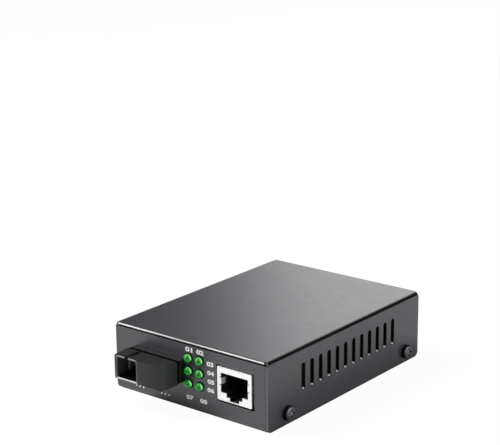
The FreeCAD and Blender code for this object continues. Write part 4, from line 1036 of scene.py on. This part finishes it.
@dataclass(frozen=True)
class Dab:
    """A dab of solder or ink: a small cone with a hollow flank, which Geometry Nodes repeat at every point.

    foot and tip are its radii, hollow is the share by which its middle is narrower than a plain cone, and
    spread is how far the dabs' sizes differ from it, as a share.
    """

    foot: float
    tip: float
    height: float
    hollow: float = 0.0
    tilt: Colour = (0.0, 0.0, 0.0)
    spread: float = 0.0
    sides: int = 12
    seed: int = 5

    def repeat(self, points: Sequence[Vector], material: bpy.types.Material,
               girths: Optional[Sequence[Vector]] = None) -> bpy.types.Mesh:
        """Sets one cone on each point.

        Args:
            points: The middles of the cones' feet.
            material: The material of the cones.
            girths: How much each cone is stretched along each axis, where they differ.

        Returns:
            All the cones in one mesh.
        """
        mesh = bpy.data.meshes.new("points")
        mesh.from_pydata(points, [], [])
        girth = mesh.attributes.new("girth", "FLOAT_VECTOR", "POINT")
        for index, stretch in enumerate(girths or [Vector((1.0, 1.0, 1.0))] * len(points)):
            girth.data[index].vector = stretch
        holder = bpy.data.objects.new("points", mesh)
        modifier = holder.modifiers.new("cones", "NODES")
        modifier.node_group, names = self.tree(material)
        values = {"Foot": self.foot, "Tip": self.tip, "Height": self.height, "Hollow": self.hollow,
                  "Tilt": self.tilt, "Spread": self.spread, "Sides": self.sides, "Seed": self.seed}
        for name, value in values.items():
            modifier[names[name]] = value
        return plain_mesh(holder)

    def tree(self, material: bpy.types.Material) -> tuple[bpy.types.NodeTree, dict[str, str]]:
        """Builds the node tree.

        Args:
            material: The material that it sets.

        Returns:
            The tree, and the identifier of each named input.
        """
        tree = bpy.data.node_groups.new("cones_on_points", "GeometryNodeTree")
        kinds = {"Points": "Geometry", "Foot": "Float", "Tip": "Float", "Height": "Float", "Hollow": "Float",
                 "Tilt": "Vector", "Spread": "Float", "Sides": "Int", "Seed": "Int"}
        names = {name: tree.interface.new_socket(name, in_out="INPUT", socket_type=f"NodeSocket{kind}").identifier
                 for name, kind in kinds.items()}
        tree.interface.new_socket("Cones", in_out="OUTPUT", socket_type="NodeSocketGeometry")
        graph = Graph(tree)
        given = graph.add("NodeGroupInput").outputs
        scatter = graph.add("GeometryNodeInstanceOnPoints")
        graph.feed(scatter.inputs["Points"], given["Points"])
        graph.feed(scatter.inputs["Instance"], self.cone(graph, given))
        graph.feed(scatter.inputs["Rotation"], given["Tilt"])
        change = graph.add("FunctionNodeRandomValue", data_type="FLOAT")
        graph.feed(change.inputs[2], graph.inverse(given["Spread"]))
        graph.feed(change.inputs[3], graph.maths("ADD", 1.0, given["Spread"]))
        graph.feed(change.inputs["Seed"], given["Seed"])
        girth = graph.add("GeometryNodeInputNamedAttribute", data_type="FLOAT_VECTOR")
        graph.feed(girth.inputs["Name"], "girth")
        stretch = graph.add("ShaderNodeVectorMath", operation="SCALE")
        graph.feed(stretch.inputs[0], girth.outputs[0])
        graph.feed(stretch.inputs["Scale"], change.outputs[1])
        graph.feed(scatter.inputs["Scale"], stretch.outputs[0])
        realise = graph.add("GeometryNodeRealizeInstances")
        graph.feed(realise.inputs[0], scatter.outputs[0])
        dressed = graph.add("GeometryNodeSetMaterial")
        graph.feed(dressed.inputs["Geometry"], realise.outputs[0])
        graph.feed(dressed.inputs["Material"], material)
        result = graph.add("NodeGroupOutput")
        graph.feed(result.inputs[0], dressed.outputs[0])
        return tree, names

    def cone(self, graph: Graph, given: bpy.types.NodeOutputs) -> Socket:
        """Adds the cone, narrowed at mid height by the share that is asked for.

        Args:
            graph: The tree that gets the nodes.
            given: The tree's own inputs.

        Returns:
            The cone's geometry.
        """
        cone = graph.add("GeometryNodeMeshCone", fill_type="NGON")
        for name, value in (("Vertices", given["Sides"]), ("Side Segments", 3), ("Radius Bottom", given["Foot"]),
                            ("Radius Top", given["Tip"]), ("Depth", given["Height"])):
            graph.feed(cone.inputs[name], value)
        parts = graph.add("ShaderNodeSeparateXYZ")
        graph.feed(parts.inputs[0], graph.add("GeometryNodeInputPosition").outputs[0])
        share = graph.maths("DIVIDE", parts.outputs[2], given["Height"])
        middle = graph.both(share, graph.inverse(share), 4.0)
        inward = graph.both(middle, given["Hollow"], -1.0)
        offset = graph.add("ShaderNodeCombineXYZ")
        for index in (0, 1):
            graph.feed(offset.inputs[index], graph.both(parts.outputs[index], inward))
        narrowed = graph.add("GeometryNodeSetPosition")
        graph.feed(narrowed.inputs["Geometry"], cone.outputs["Mesh"])
        graph.feed(narrowed.inputs["Offset"], offset.outputs[0])
        return narrowed.outputs[0]


def legs_of(name: str, below: float, near: float = 0.01 * MM) -> list[tuple[Vector, Vector]]:
    """Finds where the pins of a node come through a board.

    Args:
        name: The frame's node.
        below: Height under which only pins are.
        near: Corners of the node's triangles that are nearer than this are one.

    Returns:
        The lowest and highest corner of each pin, under that height.
    """
    shape = bmesh.new()
    shape.from_mesh(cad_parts[name].data)
    bmesh.ops.remove_doubles(shape, verts=shape.verts, dist=near)
    left = {vertex for vertex in shape.verts if vertex.co.z < below}
    legs = []
    while left:
        reached = [left.pop()]
        for vertex in reached:
            joined = {edge.other_vert(vertex) for edge in vertex.link_edges} & left
            left -= joined
            reached.extend(joined)
        corners = [vertex.co.copy() for vertex in reached]
        legs.append((Vector(map(min, zip(*corners))), Vector(map(max, zip(*corners)))))
    shape.free()
    return sorted(legs, key=lambda leg: tuple(leg[0]))


# ---- Sub-assemblies ------------------------------------------------------------------------------
@dataclass
class Assembly:
    """Frame nodes that belong together."""

    palette: Palette
    nodes: tuple[str, ...] = ()

    def build(self) -> None:
        """Dresses the nodes; sub-assemblies that add pieces do so in their own build."""
        self.palette.dress(*self.nodes)


@dataclass
class Case(Assembly):
    """The folded cover, the tray with the end panels, and the cover's screws."""

    nodes: tuple[str, ...] = ("top_cover", "base_tray", "cover_screws")


@dataclass
class Board(Assembly):
    """The circuit board, what holds it and what is soldered to it."""

    nodes: tuple[str, ...] = (
        "circuit_board", "board_standoffs", "board_screws", "converter_chip", "converter_chip_leads",
        "isolation_transformer", "transformer_leads", "memory_chip", "memory_leads", "crystal",
        "voltage_regulator", "regulator_leads", "capacitor_bases", "capacitor_cans", "choke_core",
        "choke_winding", "chip_resistors", "chip_capacitors")
    soldered: tuple[str, ...] = (
        "transceiver_pins", "lamp_leads", "jack_contacts", "power_terminals", "jack_shield")
    joint: Dab = Dab(foot=0.42 * MM, tip=0.3 * MM, height=0.6 * MM, hollow=0.15,
                     tilt=(math.pi, 0.0, 0.0), spread=0.05)
    sunk: float = 0.02 * MM
    leg: float = 0.55 * MM
    clear: float = 0.05 * MM

    def build(self) -> None:
        """Dresses the board's nodes and solders the pins under it."""
        super().build()
        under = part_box("circuit_board")[0].z
        tinned = self.palette.materials[Slot.TINNED]
        feet, girths = [], []
        for name in self.soldered:
            for low, high in legs_of(name, under - self.clear):
                middle, size = (low + high) / 2, high - low
                feet.append(Vector((middle.x, middle.y, under + self.sunk)))
                girths.append(Vector((max(1.0, size.x / self.leg), max(1.0, size.y / self.leg), 1.0)))
        shape = bmesh.new()
        shape.from_mesh(self.joint.repeat(feet, tinned, girths))
        add_piece("solder_joints", shape, tinned)


@dataclass
class Transceiver(Assembly):
    """The optical transceiver with its nose through the front panel."""

    nodes: tuple[str, ...] = ("transceiver_housing", "transceiver_pins", "plug_guide", "alignment_sleeve")


@dataclass
class NetworkSocket(Assembly):
    """The shielded twisted-pair socket."""

    nodes: tuple[str, ...] = ("jack_shield", "jack_housing", "jack_contacts")


@dataclass
class IndicatorLamps(Assembly):
    """Six lamps in two holders."""

    nodes: tuple[str, ...] = ("lamp_holder_left", "lamp_holder_right", "lamp_leads") + tuple(
        f"lamp_{side}_{row}" for side in ("left", "right") for row in ("bottom", "middle", "top"))


@dataclass
class PowerInlet(Assembly):
    """The power socket in the rear panel."""

    nodes: tuple[str, ...] = ("power_housing", "power_pin", "power_terminals")


@dataclass(frozen=True)
class Number:
    """A plain number in print: its digits, its middle on the panel, across and up, and its size."""

    digits: str
    middle: Span
    size: Span
    weight: float = 0.045

    def outline(self) -> bpy.types.Mesh:
        """Makes the digits as a solid.

        Returns:
            Their mesh, in the font's own units.
        """
        curve = bpy.data.curves.new(self.digits, "FONT")
        curve.body = self.digits
        curve.offset = self.weight
        curve.extrude = 0.5
        curve.resolution_u = 3
        return plain_mesh(bpy.data.objects.new(self.digits, curve))

    def add_to(self, shape: bmesh.types.BMesh, depth: Span) -> None:
        """Adds the number to a shape on the front panel.

        Args:
            shape: The shape that gets it.
            depth: Where its front and its back lie along Y.
        """
        mesh = self.outline()
        corners = [vertex.co for vertex in mesh.vertices]
        low = Vector(map(min, zip(*corners)))
        span = Vector(map(max, zip(*corners))) - low
        for vertex in mesh.vertices:
            across, up, out = ((vertex.co - low)[i] / span[i] for i in range(3))
            vertex.co = (self.middle[0] + (across - 0.5) * self.size[0],
                         depth[1] + out * (depth[0] - depth[1]),
                         self.middle[1] + (up - 0.5) * self.size[1])
        shape.from_mesh(mesh)


@dataclass
class PanelPrint(Assembly):
    """White print on the front panel: plain numbers by the lamps, and rows of dots under the nose."""

    proud: float = 0.03 * MM
    numbers: tuple[Number, ...] = (
        Number("01", (0.1 * MM, 22.9 * MM), (3.3 * MM, 1.8 * MM)),
        Number("02", (5.2 * MM, 22.9 * MM), (3.3 * MM, 1.8 * MM)),
        Number("03", (9.7 * MM, 19.6 * MM), (3.1 * MM, 1.7 * MM)),
        Number("04", (9.9 * MM, 16.3 * MM), (3.1 * MM, 1.7 * MM)),
        Number("05", (10.0 * MM, 13.1 * MM), (3.1 * MM, 1.7 * MM)),
        Number("06", (9.9 * MM, 10.0 * MM), (3.1 * MM, 1.7 * MM)),
        Number("07", (0.2 * MM, 5.0 * MM), (3.3 * MM, 1.7 * MM)),
        Number("08", (6.5 * MM, 5.0 * MM), (3.3 * MM, 1.7 * MM)),
    )
    dots: tuple[Span, ...] = (
        (-25.4 * MM, 3.3 * MM), (-23.7 * MM, 3.3 * MM), (-22.0 * MM, 3.3 * MM),
        (-13.2 * MM, 3.3 * MM), (-11.4 * MM, 3.3 * MM), (-9.6 * MM, 3.3 * MM))
    dot: Dab = Dab(foot=0.35 * MM, tip=0.35 * MM, height=0.05 * MM, tilt=(math.pi / 2, 0.0, 0.0), sides=16)

    def build(self) -> None:
        """Prints the numbers and the dots."""
        ink = MouldedPlastic("white_ink", (0.94, 0.94, 0.94), (0.88, 0.88, 0.88), (0.5, 0.6), 0.5 * MM,
                             spark=0.08 * MM, spark_depth=0.001 * MM).build()
        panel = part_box("base_tray")[0].y
        depth = (panel - self.proud, panel + self.dot.height - self.proud)
        shape = bmesh.new()
        for number in self.numbers:
            number.add_to(shape, depth)
        shape.from_mesh(self.dot.repeat([Vector((x, depth[1], z)) for x, z in self.dots], ink))
        add_piece("panel_print", shape, ink)


# ---- Studio --------------------------------------------------------------------------------------
def look_along(back: Vector, roll: float) -> Matrix:
    """Rotation of a camera or lamp.

    Args:
        back: From what it looks at towards it.
        roll: Turn about that line, in radians.

    Returns:
        The rotation, as a 4x4 matrix.
    """
    back = back.normalized()
    right = Vector((0, 0, 1)).cross(back).normalized()
    up = back.cross(right)
    turned_right = right * math.cos(roll) + up * math.sin(roll)
    turned_up = up * math.cos(roll) - right * math.sin(roll)
    return Matrix((turned_right, turned_up, back)).transposed().to_4x4()


def bearing(azimuth: float, elevation: float) -> Vector:
    """Direction from the object at an azimuth from the front and an elevation, in degrees."""
    turn, rise = math.radians(azimuth), math.radians(elevation)
    return Vector((math.sin(turn) * math.cos(rise), -math.cos(turn) * math.cos(rise), math.sin(rise)))


@dataclass(frozen=True)
class Viewpoint:
    """The camera."""

    azimuth: float = 38.74
    elevation: float = 15.89
    roll: float = -0.57
    distance: float = 556.76 * MM
    target: Colour = (-13.34 * MM, 4.60 * MM, 54.93 * MM)
    lens: float = 107.02
    sensor: float = 36.0

    def build(self) -> None:
        """Makes the scene's camera."""
        data = bpy.data.cameras.new("camera")
        data.lens = self.lens
        data.sensor_width = self.sensor
        data.clip_start = 0.01
        data.clip_end = 50.0
        camera = bpy.data.objects.new("camera", data)
        bpy.context.scene.collection.objects.link(camera)
        back = bearing(self.azimuth, self.elevation)
        camera.matrix_world = (Matrix.Translation(Vector(self.target) + back * self.distance)
                               @ look_along(back, math.radians(self.roll)))
        bpy.context.scene.camera = camera


def add_stage(name: str, width: float, height: float, place: Matrix, surface: Surface) -> bpy.types.Object:
    """Adds a flat rectangle that isn't part of the object.

    Args:
        name: Its name.
        width: Its size across.
        height: Its size up.
        place: Where it goes and how it is turned.
        surface: Its material.

    Returns:
        The rectangle's object.
    """
    half_width, half_height = width / 2, height / 2
    mesh = bpy.data.meshes.new(name)
    mesh.from_pydata([(-half_width, -half_height, 0), (half_width, -half_height, 0),
                      (half_width, half_height, 0), (-half_width, half_height, 0)], [], [(0, 1, 2, 3)])
    mesh.materials.append(surface.material)
    card = bpy.data.objects.new(name, mesh)
    card.matrix_world = place
    bpy.context.scene.collection.objects.link(card)
    return card


@dataclass(frozen=True)
class Panel:
    """A flat rectangle that hangs round the object and faces it, out of the camera's sight."""

    name: str
    azimuth: float
    elevation: float
    distance: float
    width: float
    height: float
    aim: Colour = (0.0, 0.0, 0.0)

    def place(self) -> Matrix:
        """Where it hangs and how it is turned."""
        back = bearing(self.azimuth, self.elevation)
        return Matrix.Translation(Vector(self.aim) + back * self.distance) @ look_along(back, 0.0)


@dataclass(frozen=True, kw_only=True)
class Softbox(Panel):
    """A lamp that gives even light over its whole face."""

    radiance: float
    aim: Colour = (0.0, 0.0, 13 * MM)

    def build(self) -> None:
        """Makes the lamp."""
        data = bpy.data.lights.new(self.name, "AREA")
        data.shape = "RECTANGLE"
        data.size = self.width
        data.size_y = self.height
        data.energy = self.radiance * math.pi * self.width * self.height
        lamp = bpy.data.objects.new(self.name, data)
        lamp.matrix_world = self.place()
        lamp.visible_camera = False
        bpy.context.scene.collection.objects.link(lamp)


@dataclass(frozen=True)
class Flag(Panel):
    """A dark card that keeps light off the object."""

    tone: float = 0.02

    def build(self) -> None:
        """Makes the card."""
        surface = Surface(self.name)
        surface.set("Base Color", (self.tone,) * 3)
        surface.set("Roughness", 1.0)
        add_stage(self.name, self.width, self.height, self.place(), surface).visible_camera = False


@dataclass(frozen=True)
class Studio:
    """Pale floor, soft lamps and a white surround."""

    floor_size: float = 6.0
    floor_tone: float = 0.92
    floor_white: float = 0.93
    floor_glow: float = 1.03
    surround: float = 0.2
    softboxes: tuple[Softbox, ...] = (
        Softbox("softbox_above_left", -65, 49, 1.1, 0.45, 0.45, radiance=15.5),
        Softbox("softbox_rear", 203, 22, 1.0, 0.5, 0.6, radiance=0.9),
        Softbox("softbox_front_left", -35, 16, 1.2, 0.8, 0.5, radiance=2.2),
        Softbox("softbox_right", 110, 16, 1.0, 0.7, 0.4, radiance=3.3),
    )
    flags: tuple[Flag, ...] = (
        Flag("flag_rear_left", 247, 26, 1.0, 0.95, 0.8),
        Flag("flag_rear_right", 160, 24, 1.0, 0.9, 0.9),
    )

    def build(self) -> None:
        """Makes the floor, the surround, the lamps and the cards."""
        self.floor()
        self.world()
        for piece in (*self.softboxes, *self.flags):
            piece.build()
        bpy.context.scene.view_settings.view_transform = "Standard"

    def floor(self) -> None:
        """The floor: it keeps the shadow and looks white to the camera."""
        surface = Surface("pale_floor")
        surface.set("Base Color", (self.floor_tone,) * 3)
        surface.set("Roughness", 0.9)
        surface.set("Specular IOR Level", 0.0)
        white = surface.add("ShaderNodeEmission")
        surface.feed(white.inputs["Strength"], self.floor_glow)
        blend = surface.add("ShaderNodeMixShader")
        seen = surface.add("ShaderNodeLightPath").outputs["Is Camera Ray"]
        surface.feed(blend.inputs[0], surface.both(seen, self.floor_white))
        surface.feed(blend.inputs[1], surface.shader.outputs[0])
        surface.feed(blend.inputs[2], white.outputs[0])
        surface.feed(surface.output.inputs["Surface"], blend.outputs[0])
        under = Matrix.Translation((0.0, 0.0, CAD_BOX[0][2]))
        add_stage("floor", self.floor_size, self.floor_size, under, surface)

    def world(self) -> None:
        """The surround: a soft even light that looks white."""
        world = bpy.data.worlds.new("surround")
        world.use_nodes = True
        bpy.context.scene.world = world
        graph = Graph(world.node_tree)
        background = next(node for node in world.node_tree.nodes if node.type == "BACKGROUND")
        background.inputs["Color"].default_value = (1.0, 1.0, 1.0, 1.0)
        path = graph.add("ShaderNodeLightPath").outputs
        seen = graph.either(path["Is Camera Ray"], path["Is Glossy Ray"], path["Is Transmission Ray"])
        graph.feed(background.inputs["Strength"], graph.remap(seen, 0.0, 1.0, self.surround, 1.0))


def main() -> None:
    """Builds the finishes, each sub-assembly, the studio and the camera, in that order."""
    logging.basicConfig(level=logging.INFO, format="%(name)s: %(message)s")
    Viewpoint().build()
    palette = Palette(finishes())
    for kind in (Case, Board, Transceiver, NetworkSocket, IndicatorLamps, PowerInlet, PanelPrint):
        kind(palette).build()
        log.info("built %s", kind.__name__)
    Studio().build()


if __name__ == "__main__":
    main()
